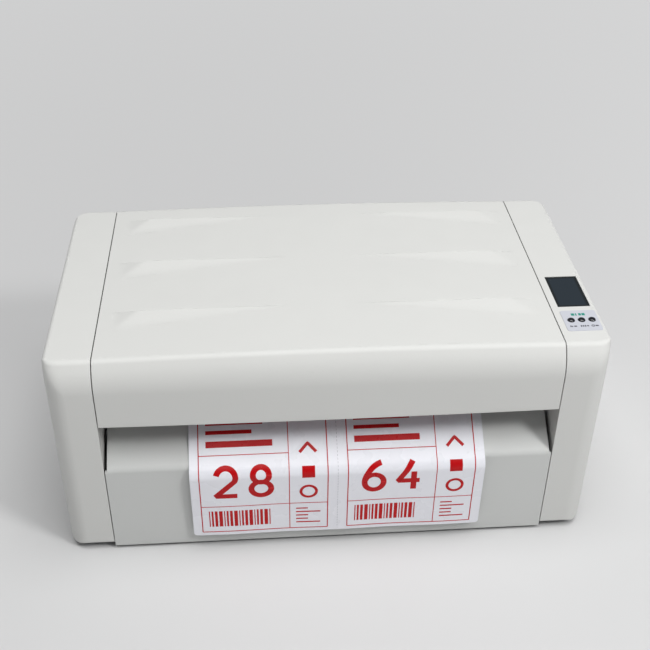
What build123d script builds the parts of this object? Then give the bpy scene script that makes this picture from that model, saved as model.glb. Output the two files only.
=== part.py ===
"""Wide desktop thermal transfer printer, one STEP file for each piece.

Pieces are drawn with X to the right, Y to the back with y = 0 at the front face, and Z up with z = 0 at the
underside of the base pan. write() moves each one into the model frame, whose origin is the bottom centre
of the bounding box: the feet reach below the pan and the label sheet reaches out in front.
"""

import os
from math import acos, asin, atan2, cos, degrees, hypot, pi, radians, sin, sqrt, tan

from build123d import *

# Outer body
BODY_WIDTH = 585.0
BODY_DEPTH = 325.0
BODY_HEIGHT = 249.5
SEAM_WIDTH = 486.0
SEAM_GAP = 1.0
WALL = 3.0
PLAN_RADIUS = 22.0
PLAN_BACK_RADIUS = 30.0
FRONT_ARC_RADIUS = 50.0
FRONT_SLOPE = 33.0
FRONT_SLOPE_DEPTH = 13.2
FRONT_CREASE_RADIUS = 8.0
BACK_TOP_RADIUS = 8.0
SHOULDER_RADIUS = 4.5
SOLE_RADIUS = 9.0
TOE_RADIUS = 5.0

# Clearances
RUN_FIT = 0.05
PRESS_FIT = 0.02
SEAT_GAP = 0.3
TOUCH_GAP = 0.05

# Base pan and feet
PAN_THICKNESS = 2.0
PAN_HALF_WIDTH = 280.0
PAN_FRONT_Y = 6.0
PAN_FLANGE_HEIGHT = 20.0
PAN_FLANGE_HALF = 225.0
FOOT_HEIGHT = 6.0
FOOT_RADIUS = 11.0
FOOT_INSET_X = 30.0
FOOT_INSET_Y = 28.0

# Side plates and beams
PLATE_THICKNESS = 2.0
PLATE_OFFSET = 0.5
PLATE_INSET = WALL + 0.4
PLATE_FLANGE = 12.0
BEAM_SHEET = 2.0
FRONT_BEAM_DEPTH = 18.0
FRONT_BEAM_Z = 112.0
REAR_BEAM_DEPTH = 18.0
REAR_BEAM_Z = 196.0
BEAM_HEIGHT = 18.0
SCREW_RADIUS = 1.5
SCREW_HEAD_RADIUS = 3.0
SCREW_HEAD = 1.8

# Back panel
BACK_SHEET = 2.0
BACK_TOP_Z = 221.0
BACK_BOTTOM_Z = 1.0
VENT_COUNT = 12
VENT_PITCH = 10.0
VENT_WIDTH = 4.0
VENT_LENGTH = 60.0
VENT_Z = 150.0

# Front panel with the exit tray
PANEL_DROP = 1.2
LEDGE_Z = 112.0
LEDGE_RADIUS = 8.0
TRAY_SLOPE = 35.5
TRAY_DEPTH = 44.0
TRAY_FLANGE = 16.0
TRAY_END_GAP = 2.2
PANEL_RIB_X = (-150.0, 0.0, 150.0)
PANEL_RIB_WIDTH = 6.0
TEAR_BAR_SHEET = 1.5
TEAR_BAR_TOP_Z = 147.6
TEAR_TOOTH_PITCH = 4.0
TEAR_TOOTH_DEPTH = 1.2
TEAR_BAR_HALF = 164.0

# Lid
LID_LIP_Z = 172.0
LID_CROWN = 3.0
LID_LIP_DEPTH = 10.0
LID_BACK_Z = 224.0
LID_SIDE_DEPTH = 8.0
LID_BEAM_Y = (85.0, 205.0, 265.0)
LID_BEAM_DEPTH = 5.0
HINGE_BACK = 10.0
HINGE_DROP = 11.5
HINGE_PIN_RADIUS = 3.0
HINGE_EAR_RADIUS = 7.0
HINGE_EAR_WIDTH = 9.0
LID_REST_Y = 18.0
LID_REST_LENGTH = 12.0
RIB_HEIGHT = 4.0
RIB_OUTER_X = 223.5
RIB_CREST_X = 200.0
RIB_LENGTH_Y = 26.0
RIB_BACK_Y = (94.0, 193.5, 290.0)
RIB_INNER_X = (62.0, 65.0, 78.0)

# Display and keys on the right cheek
WINDOW_X = (250.6, 286.5)
WINDOW_Y = (79.6, 140.1)
WINDOW_THICKNESS = 1.5
WINDOW_RECESS = 0.5
WINDOW_LEDGE = 3.5
OVERLAY_X = (250.0, 288.0)
OVERLAY_Y = (34.3, 71.6)
OVERLAY_THICKNESS = 0.5
OVERLAY_RADIUS = 3.0
KEY_X = (258.1, 269.4, 280.7)
KEY_Y = 53.5
KEY_RADIUS = 3.85
KEY_CLEARANCE = 0.25
KEY_PROUD = 2.0
KEY_DOME = 1.5
KEY_FLANGE = 1.0
KEY_FLANGE_RADIUS = 4.9
KEY_TRAVEL = 0.8
BOARD_SHEET = 1.6
KEY_BOARD_DROP = 4.3
KEY_BOARD_MARGIN = 2.0
BOSS_RADIUS = 2.5

# Platen and its gear train, module 1
MODULE = 1.0
BACKLASH = 0.14
PRESSURE_ANGLE = 20.0
GEAR_WIDTH = 8.0
GEAR_OFFSET = 4.5
PLATEN_Y = 75.0
PLATEN_Z = 145.5
PLATEN_RADIUS = 10.0
PLATEN_HALF = 165.0
SHAFT_RADIUS = 4.0
BEARING_RADIUS = 8.0
BEARING_WIDTH = 5.0
PLATEN_TEETH = 60
PINION_TEETH = 16
IDLER_TEETH = 30
TAKEUP_TEETH = 40
PINION_ANGLE = -42.0
MOTOR_SIZE = 42.0
MOTOR_LENGTH = 46.0
MOTOR_SHAFT_RADIUS = 2.5
MOTOR_BOSS_RADIUS = 11.0
MOTOR_HOLE_PITCH = 31.0

# Ribbon
RIBBON_HALF = 152.5
RIBBON_THICKNESS = 0.12
TAKEUP_Y = 35.0
SUPPLY_Y = 150.0
RIBBON_Z = 212.0
SPINDLE_RADIUS = 5.0
RIBBON_CORE_RADIUS = 12.7
RIBBON_CORE_WALL = 1.6
RIBBON_CORE_HALF = 160.0
TAKEUP_ROLL_RADIUS = 18.0
SUPPLY_ROLL_RADIUS = 30.0
HUB_LENGTH = 24.0
HUB_FLANGE_RADIUS = 16.0
HUB_FLANGE = 4.0
BUSH_RADIUS = 8.0
BUSH_FLANGE_RADIUS = 10.0
BUSH_FLANGE = 1.5

# Print head
HEAD_PIVOT_Y = 150.0
HEAD_PIVOT_Z = 168.0
HEAD_FRAME_TOP = 186.0
HEAD_SHEET = 2.0
HEAD_FRONT_Y = 62.0
HEAD_BACK_Y = 108.0
HEAD_ARM_X = 231.0
HEAD_HALF = 172.0
SINK_BOTTOM_Z = 163.0
SINK_TOP_Z = 176.0
SINK_FRONT_Y = 66.0
SINK_BACK_Y = 104.0
SINK_RAIL = 12.0
FIN_COUNT = 5
FIN_GAP = 2.6
FIN_DEPTH = 8.0
GLAZE_RADIUS = 3.0
FRONT_ROD_Y = 58.0
REAR_ROD_Y = 114.0
ROD_Z = 161.5
ROD_RADIUS = 3.0
HEAD_SPRING_X = (-140.0, -50.0, 50.0, 140.0)
HEAD_SPRING_RADIUS = 4.0
HEAD_SPRING_WIRE = 0.9
HEAD_SPRING_TURNS = 5
HEAD_SCREW_X = (-95.0, 95.0)
HEAD_SCREW_Y = 72.0

# Cam shaft and release lever
CAM_Y = 92.0
CAM_SHAFT_RADIUS = 3.0
CAM_NOSE_REACH = 6.0
CAM_NOSE_RADIUS = 3.7
CAM_BASE_RADIUS = 4.0
CAM_REST_ANGLE = 30.0
CAM_X = (-150.0, 150.0)
CAM_WIDTH = 8.0
LEVER_LENGTH = 34.0
LEVER_X = 234.0
LEVER_WIDTH = 6.0
LEVER_HUB_RADIUS = 6.5
LEVER_TIP_RADIUS = 4.0

# Media
MEDIA_LEFT = -152.8
MEDIA_RIGHT = 168.0
WEB_THICKNESS = 0.3
MEDIA_Y = 245.0
MEDIA_Z = 105.0
MEDIA_RADIUS = 72.0
MEDIA_CORE_RADIUS = 23.0
MEDIA_CORE_WALL = 4.0
MEDIA_SPINDLE_RADIUS = 8.0
GUIDE_DISC_RADIUS = 60.0
GUIDE_DISC = 4.0
GUIDE_INNER_HUB = 14.0
GUIDE_OUTER_HUB = 16.0
GUIDE_OUTER_RADIUS = 16.0
ROLLER_Y = 172.0
ROLLER_Z = 164.5
ROLLER_RADIUS = 6.0
CRADLE_DEPTH = 24.0
CRADLE_BELOW = 25.0
CRADLE_ABOVE = 7.0
CRADLE_WIDTH = 11.0

# Label sheet hanging over the front
SHEET_PROUD = 8.5
SHEET_BEND = 14.0
SHEET_END_Z = 15.0
SHEET_END_INSET = 3.0

# Supply, board and sockets
PSU_X = (-60.0, 110.0)
PSU_Y = (25.0, 115.0)
PSU_HEIGHT = 42.0
BOARD_X = (-215.0, -75.0)
BOARD_Y = (BODY_DEPTH - 100.0, BODY_DEPTH - 7.0)
BOARD_Z = 10.0
STANDOFF_RADIUS = 3.0
STANDOFF_INSET = 6.0
PORTS = ((-184.0, 12.0, 11.0), (-152.0, 16.0, 13.5))
PORT_DEPTH = 18.0
PORT_WALL = 1.0
INLET_X = 200.0
INLET_Z = 30.0
INLET_WIDTH = 30.0
INLET_HEIGHT = 22.0
INLET_DEPTH = 27.0
INLET_WALL = 2.5
SOCKET_COLLAR = 2.5
INLET_CAVITY = 18.0
BLADE_LENGTH = 10.0
SWITCH_X = 150.0
SWITCH_Z = 30.0
SWITCH_WIDTH = 15.0
SWITCH_HEIGHT = 22.0
SWITCH_DEPTH = 20.0
SWITCH_WALL = 1.2
ROCKER_PIVOT_BACK = 10.0
ROCKER_PIN_RADIUS = 1.2
ROCKER_TILT = 8.0
ROCKER_MARGIN = 2.8
CABLE_RADIUS = 2.5

# Derived places
SEAM_X = SEAM_WIDTH / 2
LID_HALF = SEAM_X - SEAM_GAP
PLATE_X = SEAM_X + PLATE_OFFSET
PLATE_OUT_X = PLATE_X + PLATE_THICKNESS
PLATE_TOP_Z = BODY_HEIGHT - PLATE_INSET
INNER_X = BODY_WIDTH / 2 - WALL
HINGE_Y = BODY_DEPTH - HINGE_BACK
HINGE_Z = BODY_HEIGHT - HINGE_DROP
GEAR_X = -(PLATE_OUT_X + GEAR_OFFSET)
WEB_GAP = SEAT_GAP + WEB_THICKNESS / 2
WEB_TOP_Z = PLATEN_Z + PLATEN_RADIUS + SEAT_GAP + WEB_THICKNESS
HEAD_LINE_Z = WEB_TOP_Z + 2 * SEAT_GAP + RIBBON_THICKNESS
TRAY_TOP_Z = LEDGE_Z + TRAY_DEPTH * tan(radians(TRAY_SLOPE))
FRONT_BEAM_Y = TRAY_DEPTH + SEAT_GAP + TEAR_BAR_SHEET
CAM_Z = HEAD_FRAME_TOP + SEAT_GAP + CAM_NOSE_RADIUS + CAM_NOSE_REACH * cos(radians(CAM_REST_ANGLE))
PINION_GAP = MODULE * (PLATEN_TEETH + PINION_TEETH) / 2
PINION_Y = PLATEN_Y + PINION_GAP * cos(radians(PINION_ANGLE))
PINION_Z = PLATEN_Z + PINION_GAP * sin(radians(PINION_ANGLE))
KEY_BOARD_TOP_Z = BODY_HEIGHT - WALL - KEY_BOARD_DROP
POSTS = (
    (25.0, 25.0),
    (BODY_DEPTH - 25.0, 25.0),
    (BODY_DEPTH - 35.0, BODY_HEIGHT - 35.0),
    (95.0, BODY_HEIGHT - 20.0),
)
POST_RADIUS = 4.0
MODEL_SHIFT = (0.0, (SHEET_PROUD - BODY_DEPTH) / 2, FOOT_HEIGHT)


def write(name, shape):
    """Moves a piece into the model frame and writes its file."""
    export_step(Pos(*MODEL_SHIFT) * shape, f"parts/{name}.step")


def group(shapes):
    """Separate solids kept together as one piece's file."""
    return Compound([solid for shape in shapes for solid in shape.solids()])


def slab(x0, x1, y0, y1, z0, z1):
    centre = Pos((x0 + x1) / 2, (y0 + y1) / 2, (z0 + z1) / 2)
    return centre * Box(abs(x1 - x0), abs(y1 - y0), abs(z1 - z0))


def rod(radius, x0, x1, y, z):
    return Pos((x0 + x1) / 2, y, z) * Rot(0, 90, 0) * Cylinder(radius, abs(x1 - x0))


def ring(outer, inner, x0, x1, y, z):
    return rod(outer, x0, x1, y, z) - rod(inner, x0 - 1, x1 + 1, y, z)


def pin_y(radius, y0, y1, x, z):
    return Pos(x, (y0 + y1) / 2, z) * Rot(90, 0, 0) * Cylinder(radius, abs(y1 - y0))


def pin_z(radius, z0, z1, x, y):
    return Pos(x, y, (z0 + z1) / 2) * Cylinder(radius, abs(z1 - z0))


def outline(points, radii=None):
    """Closed face through corner points, with one fillet radius for each corner."""
    if radii is None:
        return make_face(Polyline(*points, close=True))
    return make_face(FilletPolyline(*points, radius=radii, close=True))


def bar(face, x0, x1):
    """A (y, z) face drawn out along X."""
    return extrude(Plane.YZ.offset(x0) * face, x1 - x0)


def plank(face, y0, y1):
    """An (x, z) face drawn out along Y."""
    return extrude(Plane.XZ.offset(-y1) * face, y1 - y0)


def both_sides(shape):
    return [shape, mirror(shape, Plane.YZ)]


def front_corners(inset, top):
    """The front's corners drawn in by inset: one under its big arc, and the crease where that meets the top."""
    slope = radians(FRONT_SLOPE)
    low_z = BODY_HEIGHT - FRONT_SLOPE_DEPTH / tan(slope) - inset * tan(slope / 2)
    crease_y = FRONT_SLOPE_DEPTH + inset * tan((pi / 2 - slope) / 2)
    rise = top + inset - BODY_HEIGHT
    return [(inset, low_z), (crease_y + rise * tan(slope), top)]


def envelope(inset):
    """The body's block drawn in by inset: its plan, side and front outlines cut together."""
    half = BODY_WIDTH / 2 - inset
    top = BODY_HEIGHT - inset
    bottom = PAN_THICKNESS + inset
    back = BODY_DEPTH - inset
    plan = outline(
        [(-half, inset), (half, inset), (half, back), (-half, back)],
        [radius - inset for radius in (PLAN_RADIUS, PLAN_RADIUS, PLAN_BACK_RADIUS, PLAN_BACK_RADIUS)],
    )
    side = outline(
        [(inset, bottom), *front_corners(inset, top), (back, top), (back, bottom)],
        [radius - inset for radius in (TOE_RADIUS, FRONT_ARC_RADIUS, FRONT_CREASE_RADIUS, BACK_TOP_RADIUS, TOE_RADIUS)],
    )
    front = outline(
        [(-half, bottom), (-half, top), (half, top), (half, bottom)],
        [SOLE_RADIUS - inset, SHOULDER_RADIUS - inset, SHOULDER_RADIUS - inset, SOLE_RADIUS - inset],
    )
    return extrude(plan, BODY_HEIGHT) & bar(side, -half, half) & plank(front, 0, BODY_DEPTH)


def cheek():
    """Right cheek: a shell open towards the middle, with posts that reach the side plate."""
    outer = envelope(0) & slab(SEAM_X, BODY_WIDTH, -1, BODY_DEPTH + 1, 0, BODY_HEIGHT + 1)
    hollow = envelope(WALL) & slab(SEAM_X - 1, BODY_WIDTH, 0, BODY_DEPTH, 0, BODY_HEIGHT)
    shell = outer - hollow
    plate_y = (PLATE_INSET - SEAT_GAP, BODY_DEPTH - PLATE_INSET + SEAT_GAP)
    shell -= slab(SEAM_X - 1, PLATE_OUT_X + SEAT_GAP, *plate_y, 0, PAN_THICKNESS + WALL + 1)
    for y, z in POSTS:
        shell += rod(POST_RADIUS, PLATE_OUT_X, INNER_X + WALL / 2, y, z)
        shell -= rod(SCREW_RADIUS + PRESS_FIT, PLATE_OUT_X - 1, PLATE_OUT_X + 12, y, z)
    return shell


def key_board_bosses():
    """Places of the bosses that hold the key board, at its corners."""
    xs = (WINDOW_X[0] + 1.0, WINDOW_X[1] - 1.5)
    ys = (OVERLAY_Y[0] - 1.0, WINDOW_Y[1] + 3.5)
    return [(x, y) for x in xs for y in ys]


def right_cheek():
    shell = cheek()
    window = slab(*WINDOW_X, *WINDOW_Y, BODY_HEIGHT - WINDOW_RECESS - WINDOW_THICKNESS, BODY_HEIGHT + 1)
    light_x = (WINDOW_X[0] + WINDOW_LEDGE, WINDOW_X[1] - WINDOW_LEDGE)
    light_y = (WINDOW_Y[0] + WINDOW_LEDGE, WINDOW_Y[1] - WINDOW_LEDGE)
    shell -= window + slab(*light_x, *light_y, BODY_HEIGHT - 2 * WALL, BODY_HEIGHT)
    for x in KEY_X:
        shell -= pin_z(KEY_RADIUS + KEY_CLEARANCE, BODY_HEIGHT - 2 * WALL, BODY_HEIGHT + 1, x, KEY_Y)
    for x, y in key_board_bosses():
        shell += pin_z(BOSS_RADIUS, KEY_BOARD_TOP_Z, BODY_HEIGHT - WALL / 2, x, y)
    return shell


def display_window():
    top = BODY_HEIGHT - WINDOW_RECESS
    x0, x1 = WINDOW_X[0] + 0.1, WINDOW_X[1] - 0.1
    y0, y1 = WINDOW_Y[0] + 0.1, WINDOW_Y[1] - 0.1
    return slab(x0, x1, y0, y1, top - WINDOW_THICKNESS, top)


def display_module():
    margin = KEY_BOARD_MARGIN
    top = BODY_HEIGHT - WALL - SEAT_GAP
    x0, x1 = WINDOW_X[0] + margin, WINDOW_X[1] - margin
    return slab(x0, x1, WINDOW_Y[0] + margin, WINDOW_Y[1] - margin, KEY_BOARD_TOP_Z, top)


def key_board():
    margin = KEY_BOARD_MARGIN
    board = slab(
        WINDOW_X[0] - margin,
        WINDOW_X[1] + margin,
        OVERLAY_Y[0] - 2 * margin,
        WINDOW_Y[1] + 3 * margin,
        KEY_BOARD_TOP_Z - BOARD_SHEET,
        KEY_BOARD_TOP_Z,
    )
    stop = BODY_HEIGHT - WALL - SEAT_GAP - KEY_FLANGE - KEY_TRAVEL - KEY_CLEARANCE
    for x in KEY_X:
        board += slab(x - 3, x + 3, KEY_Y - 3, KEY_Y + 3, KEY_BOARD_TOP_Z, stop - 0.4)
        board += pin_z(1.7, KEY_BOARD_TOP_Z, stop, x, KEY_Y)
    return board


def key_overlay():
    size_x, size_y = OVERLAY_X[1] - OVERLAY_X[0], OVERLAY_Y[1] - OVERLAY_Y[0]
    centre = Pos(sum(OVERLAY_X) / 2, sum(OVERLAY_Y) / 2, BODY_HEIGHT)
    pad = centre * extrude(RectangleRounded(size_x, size_y, OVERLAY_RADIUS), OVERLAY_THICKNESS)
    for x in KEY_X:
        pad -= pin_z(KEY_RADIUS + KEY_CLEARANCE, BODY_HEIGHT - 1, BODY_HEIGHT + 2, x, KEY_Y)
    return pad


def key(x):
    """A domed key held under the cheek's top by its flange."""
    flange_top = BODY_HEIGHT - WALL - SEAT_GAP
    top = BODY_HEIGHT + OVERLAY_THICKNESS + KEY_PROUD
    stem = pin_z(KEY_RADIUS, flange_top - KEY_FLANGE, top, x, KEY_Y)
    stem = fillet(stem.edges().group_by(Axis.Z)[-1], KEY_DOME)
    return stem + pin_z(KEY_FLANGE_RADIUS, flange_top - KEY_FLANGE, flange_top, x, KEY_Y)


def lid_block(inset, half):
    """The lid's outer form drawn in by inset, with its crowned top."""
    top = BODY_HEIGHT + LID_CROWN - inset
    back = BODY_DEPTH - inset
    side = outline(
        [(inset, LID_BACK_Z - 60), *front_corners(inset, top), (back, top), (back, LID_BACK_Z - 60)],
        [0, FRONT_ARC_RADIUS - inset, 0, BACK_TOP_RADIUS - inset, 0],
    )
    edge = crown_z(half) - inset
    crown = make_face(
        [
            ThreePointArc((-half, edge), (0, top), (half, edge)),
            Line((half, edge), (half, 0)),
            Line((half, 0), (-half, 0)),
            Line((-half, 0), (-half, edge)),
        ]
    )
    return bar(side, -half, half) & plank(crown, -1, BODY_DEPTH + 1)


def crown_z(x):
    """Height of the lid's crowned top at x, from the circle through its edges and its middle."""
    radius = (LID_HALF**2 + LID_CROWN**2) / (2 * LID_CROWN)
    return BODY_HEIGHT + LID_CROWN - radius + sqrt(radius**2 - x**2)


def wedge_rib(back_y, inner_x):
    """A rib on the lid's right half: highest near its outer end, where a slanted facet cuts it off."""
    sink = 0.5
    front_y = back_y - RIB_LENGTH_Y
    tip = Vector(RIB_OUTER_X, front_y, crown_z(RIB_OUTER_X) - sink)
    heel = Vector(RIB_OUTER_X, back_y, crown_z(RIB_OUTER_X) - sink)
    tail = Vector(inner_x, back_y, crown_z(inner_x) - sink)
    peak = Vector(RIB_CREST_X, back_y, crown_z(RIB_CREST_X) + RIB_HEIGHT)
    corners = [(tip, heel, tail), (tip, peak, heel), (heel, peak, tail), (tail, peak, tip)]
    faces = [Face(Wire.make_polygon(list(three), close=True)) for three in corners]
    return Solid(Shell(faces))


def hinge_ear():
    """Ear under the lid's back edge that turns on the hinge pin."""
    x0, x1 = LID_HALF - 1.0 - HINGE_EAR_WIDTH, LID_HALF - 1.0
    ear = rod(HINGE_EAR_RADIUS, x0, x1, HINGE_Y, HINGE_Z)
    ear += slab(x0, x1, HINGE_Y - HINGE_EAR_RADIUS, HINGE_Y + HINGE_EAR_RADIUS, HINGE_Z, BODY_HEIGHT - WALL / 2)
    return ear


def lid():
    """Lid shell: crowned top, front drop with its lip, back flange, stiffening beams and wedge ribs."""
    keep = slab(-LID_HALF, LID_HALF, -1, BODY_DEPTH / 2, LID_LIP_Z, BODY_HEIGHT * 2)
    keep += slab(-LID_HALF, LID_HALF, BODY_DEPTH / 2, BODY_DEPTH + 1, LID_BACK_Z, BODY_HEIGHT * 2)
    shell = (lid_block(0, LID_HALF) & keep) - lid_block(WALL, LID_HALF + 1)
    shell += slab(-LID_HALF, LID_HALF, WALL / 2, LID_LIP_DEPTH, LID_LIP_Z, LID_LIP_Z + WALL)
    inner_top = BODY_HEIGHT - WALL / 2
    for y in LID_BEAM_Y:
        shell += slab(-LID_HALF, LID_HALF, y, y + WALL, inner_top - LID_BEAM_DEPTH, inner_top)
    side_x = (LID_HALF - WALL, LID_HALF)
    side_y = (LID_LIP_DEPTH, HINGE_Y - HINGE_EAR_RADIUS)
    side = slab(*side_x, *side_y, BODY_HEIGHT - WALL - LID_SIDE_DEPTH, inner_top)
    side = side & lid_block(WALL / 2, LID_HALF + 1)
    for piece in both_sides(side) + both_sides(hinge_ear()):
        shell += piece
    for back_y, inner_x in zip(RIB_BACK_Y, RIB_INNER_X):
        for rib in both_sides(wedge_rib(back_y, inner_x)):
            shell += rib
    return shell - rod(HINGE_PIN_RADIUS + RUN_FIT, -LID_HALF, LID_HALF, HINGE_Y, HINGE_Z)


def hinge_pin():
    """Steel pin through the side plate, with a head outside it and an end inside the lid's ear."""
    pin = rod(HINGE_PIN_RADIUS, LID_HALF - HINGE_EAR_WIDTH - 2, PLATE_OUT_X, HINGE_Y, HINGE_Z)
    return pin + rod(HINGE_PIN_RADIUS + 2, PLATE_OUT_X, PLATE_OUT_X + 2, HINGE_Y, HINGE_Z)


def friction_washer():
    """Ring squeezed between the lid's ear and the side plate."""
    inner_x = LID_HALF - 1 + SEAT_GAP
    return ring(HINGE_EAR_RADIUS - 1, HINGE_PIN_RADIUS + RUN_FIT, inner_x, PLATE_X, HINGE_Y, HINGE_Z)


def lid_rest():
    """Block on the side plate that the closed lid's side flange lies on."""
    top = BODY_HEIGHT - WALL - LID_SIDE_DEPTH - SEAT_GAP
    return slab(LID_HALF - WALL - 3, PLATE_X, LID_REST_Y, LID_REST_Y + LID_REST_LENGTH, top - 12, top)


def base_pan():
    pan = slab(-PAN_HALF_WIDTH, PAN_HALF_WIDTH, PAN_FRONT_Y, BODY_DEPTH - BACK_SHEET, 0, PAN_THICKNESS)
    for y in (PAN_FRONT_Y, BODY_DEPTH - BACK_SHEET - PAN_THICKNESS):
        pan += slab(-PAN_FLANGE_HALF, PAN_FLANGE_HALF, y, y + PAN_THICKNESS, 0, PAN_FLANGE_HEIGHT)
    sockets = [(x, width, BOARD_Z) for x, width, height in PORTS]
    sockets += [(x, width, z - height / 2 - SOCKET_COLLAR) for x, z, width, height in socket_cutouts()]
    for x, width, z in sockets:
        reach = width / 2 + SOCKET_COLLAR + SEAT_GAP
        pan -= slab(x - reach, x + reach, BODY_DEPTH / 2, BODY_DEPTH, z - SEAT_GAP, PAN_FLANGE_HEIGHT + 1)
    return pan


def rubber_feet():
    x = BODY_WIDTH / 2 - FOOT_INSET_X
    rows = (FOOT_INSET_Y, BODY_DEPTH - FOOT_INSET_Y)
    return group([pin_z(FOOT_RADIUS, -FOOT_HEIGHT, 0, side * x, y) for side in (-1, 1) for y in rows])


def plate_holes():
    """Centres and radii of the holes that both side plates share."""
    return [
        (PLATEN_Y, PLATEN_Z, BEARING_RADIUS + PRESS_FIT),
        (TAKEUP_Y, RIBBON_Z, BUSH_RADIUS + PRESS_FIT),
        (SUPPLY_Y, RIBBON_Z, BUSH_RADIUS + PRESS_FIT),
        (CAM_Y, CAM_Z, BUSH_RADIUS + PRESS_FIT),
        (ROLLER_Y, ROLLER_Z, BUSH_RADIUS + PRESS_FIT),
        (HEAD_PIVOT_Y, HEAD_PIVOT_Z, SHAFT_RADIUS + PRESS_FIT),
        (HINGE_Y, HINGE_Z, HINGE_PIN_RADIUS + PRESS_FIT),
    ] + [(y, z, SCREW_RADIUS + PRESS_FIT) for y, z in POSTS]


def side_plate():
    """Right side plate with its bottom flange turned inwards."""
    back = BODY_DEPTH - PLATE_INSET
    face = outline(
        [
            (PLATE_INSET, PAN_THICKNESS),
            *front_corners(PLATE_INSET, PLATE_TOP_Z),
            (back, PLATE_TOP_Z),
            (back, PAN_THICKNESS),
        ],
        [TOE_RADIUS, FRONT_ARC_RADIUS - PLATE_INSET, FRONT_CREASE_RADIUS - PLATE_INSET, BACK_TOP_RADIUS - WALL, 0],
    )
    plate = bar(face, PLATE_X, PLATE_OUT_X)
    flange_y = (FOOT_INSET_Y, BODY_DEPTH - FOOT_INSET_Y)
    flange_z = (PAN_THICKNESS, PAN_THICKNESS + PLATE_THICKNESS)
    plate += slab(PLATE_X - PLATE_FLANGE, PLATE_X + 1, *flange_y, *flange_z)
    for y, z, radius in plate_holes():
        plate -= rod(radius, PLATE_X - 1, PLATE_OUT_X + 1, y, z)
    return plate


def motor_corners():
    reach = MOTOR_HOLE_PITCH / 2
    return [(PINION_Y + sy * reach, PINION_Z + sz * reach) for sy in (-1, 1) for sz in (-1, 1)]


def left_plate():
    plate = mirror(side_plate(), Plane.YZ)
    plate -= rod(MOTOR_BOSS_RADIUS + PRESS_FIT, -PLATE_OUT_X - 1, -PLATE_X + 1, PINION_Y, PINION_Z)
    for y, z in motor_corners():
        plate -= rod(SCREW_RADIUS + PRESS_FIT, -PLATE_OUT_X - 1, -PLATE_X + 1, y, z)
    y, z = idler_centre()
    return plate - rod(SHAFT_RADIUS + PRESS_FIT, -PLATE_OUT_X - 1, -PLATE_X + 1, y, z)


def channel(half, y0, z0, depth):
    """Cross beam between the side plates: a channel open at the bottom."""
    z1 = z0 + BEAM_HEIGHT
    beam = slab(-half, half, y0, y0 + depth, z0, z1)
    return beam - slab(-half - 1, half + 1, y0 + BEAM_SHEET, y0 + depth - BEAM_SHEET, z0 - 1, z1 - BEAM_SHEET)


def cross_beams():
    """Front beam under the tear bar, and rear beam behind the media bay, just clear of the cheeks' rims."""
    rear_y = BODY_DEPTH - BACK_SHEET - REAR_BEAM_DEPTH
    front = channel(PLATE_X, FRONT_BEAM_Y, FRONT_BEAM_Z, FRONT_BEAM_DEPTH)
    return group([front, channel(SEAM_X - TOUCH_GAP, rear_y, REAR_BEAM_Z, REAR_BEAM_DEPTH)])


def panel_screws():
    """Places (x, z) of the back panel's screws."""
    low, high = PAN_FLANGE_HEIGHT * 0.6, REAR_BEAM_Z + BEAM_HEIGHT / 2
    return [(-215.0, low), (60.0, low), (215.0, low), (-215.0, high), (0.0, high), (215.0, high)]


def back_panel():
    y0, y1 = BODY_DEPTH - BACK_SHEET, BODY_DEPTH
    panel = slab(-LID_HALF, LID_HALF, y0, y1, BACK_BOTTOM_Z, BACK_TOP_Z)
    for row in range(VENT_COUNT):
        x = (row - (VENT_COUNT - 1) / 2) * VENT_PITCH
        vent_z = (VENT_Z - VENT_LENGTH / 2, VENT_Z + VENT_LENGTH / 2)
        panel -= slab(x - VENT_WIDTH / 2, x + VENT_WIDTH / 2, y0 - 1, y1 + 1, *vent_z)
    for x, width, height in PORTS:
        z = BOARD_Z + BOARD_SHEET
        gap = SEAT_GAP
        panel -= slab(x - width / 2 - gap, x + width / 2 + gap, y0 - 1, y1 + 1, z - gap, z + height + gap)
    for x, z, width, height in socket_cutouts():
        panel -= slab(x - width / 2, x + width / 2, y0 - 1, y1 + 1, z - height / 2, z + height / 2)
    for x, z in panel_screws():
        panel -= pin_y(SCREW_HEAD_RADIUS + TOUCH_GAP, y1 - SCREW_HEAD - TOUCH_GAP, y1 + 1, x, z)
        panel -= pin_y(SCREW_RADIUS + PRESS_FIT, y0 - 1, y1 + 1, x, z)
    return panel


def socket_cutouts():
    gap = 2 * TOUCH_GAP
    return [
        (INLET_X, INLET_Z, INLET_WIDTH + gap, INLET_HEIGHT + gap),
        (SWITCH_X, SWITCH_Z, SWITCH_WIDTH + gap, SWITCH_HEIGHT + gap),
    ]


def back_screw(x, z):
    head = pin_y(SCREW_HEAD_RADIUS, BODY_DEPTH - SCREW_HEAD, BODY_DEPTH, x, z)
    return head + pin_y(SCREW_RADIUS, BODY_DEPTH - BACK_SHEET, BODY_DEPTH, x, z)


def cheek_screw(side, y, z):
    x = side * PLATE_X
    head = rod(SCREW_HEAD_RADIUS, x - side * SCREW_HEAD, x, y, z)
    return head + rod(SCREW_RADIUS, x - side, side * (PLATE_OUT_X + 10), y, z)


def plate_screws():
    """Screws through the side plates' bottom flanges, with their heads on the flange."""
    z = PAN_THICKNESS + PLATE_THICKNESS
    x = PLATE_X - PLATE_FLANGE / 2
    rows = (45.0, 120.0, 200.0, 280.0)
    return [pin_z(SCREW_HEAD_RADIUS, z, z + SCREW_HEAD, side * x, y) for side in (-1, 1) for y in rows]


def fasteners():
    """All fixed screws and the board's standoffs."""
    screws = [back_screw(x, z) for x, z in panel_screws()]
    screws += [cheek_screw(side, y, z) for side in (-1, 1) for y, z in POSTS]
    return group(screws + plate_screws() + [motor_screws(), board_standoffs()])


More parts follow.
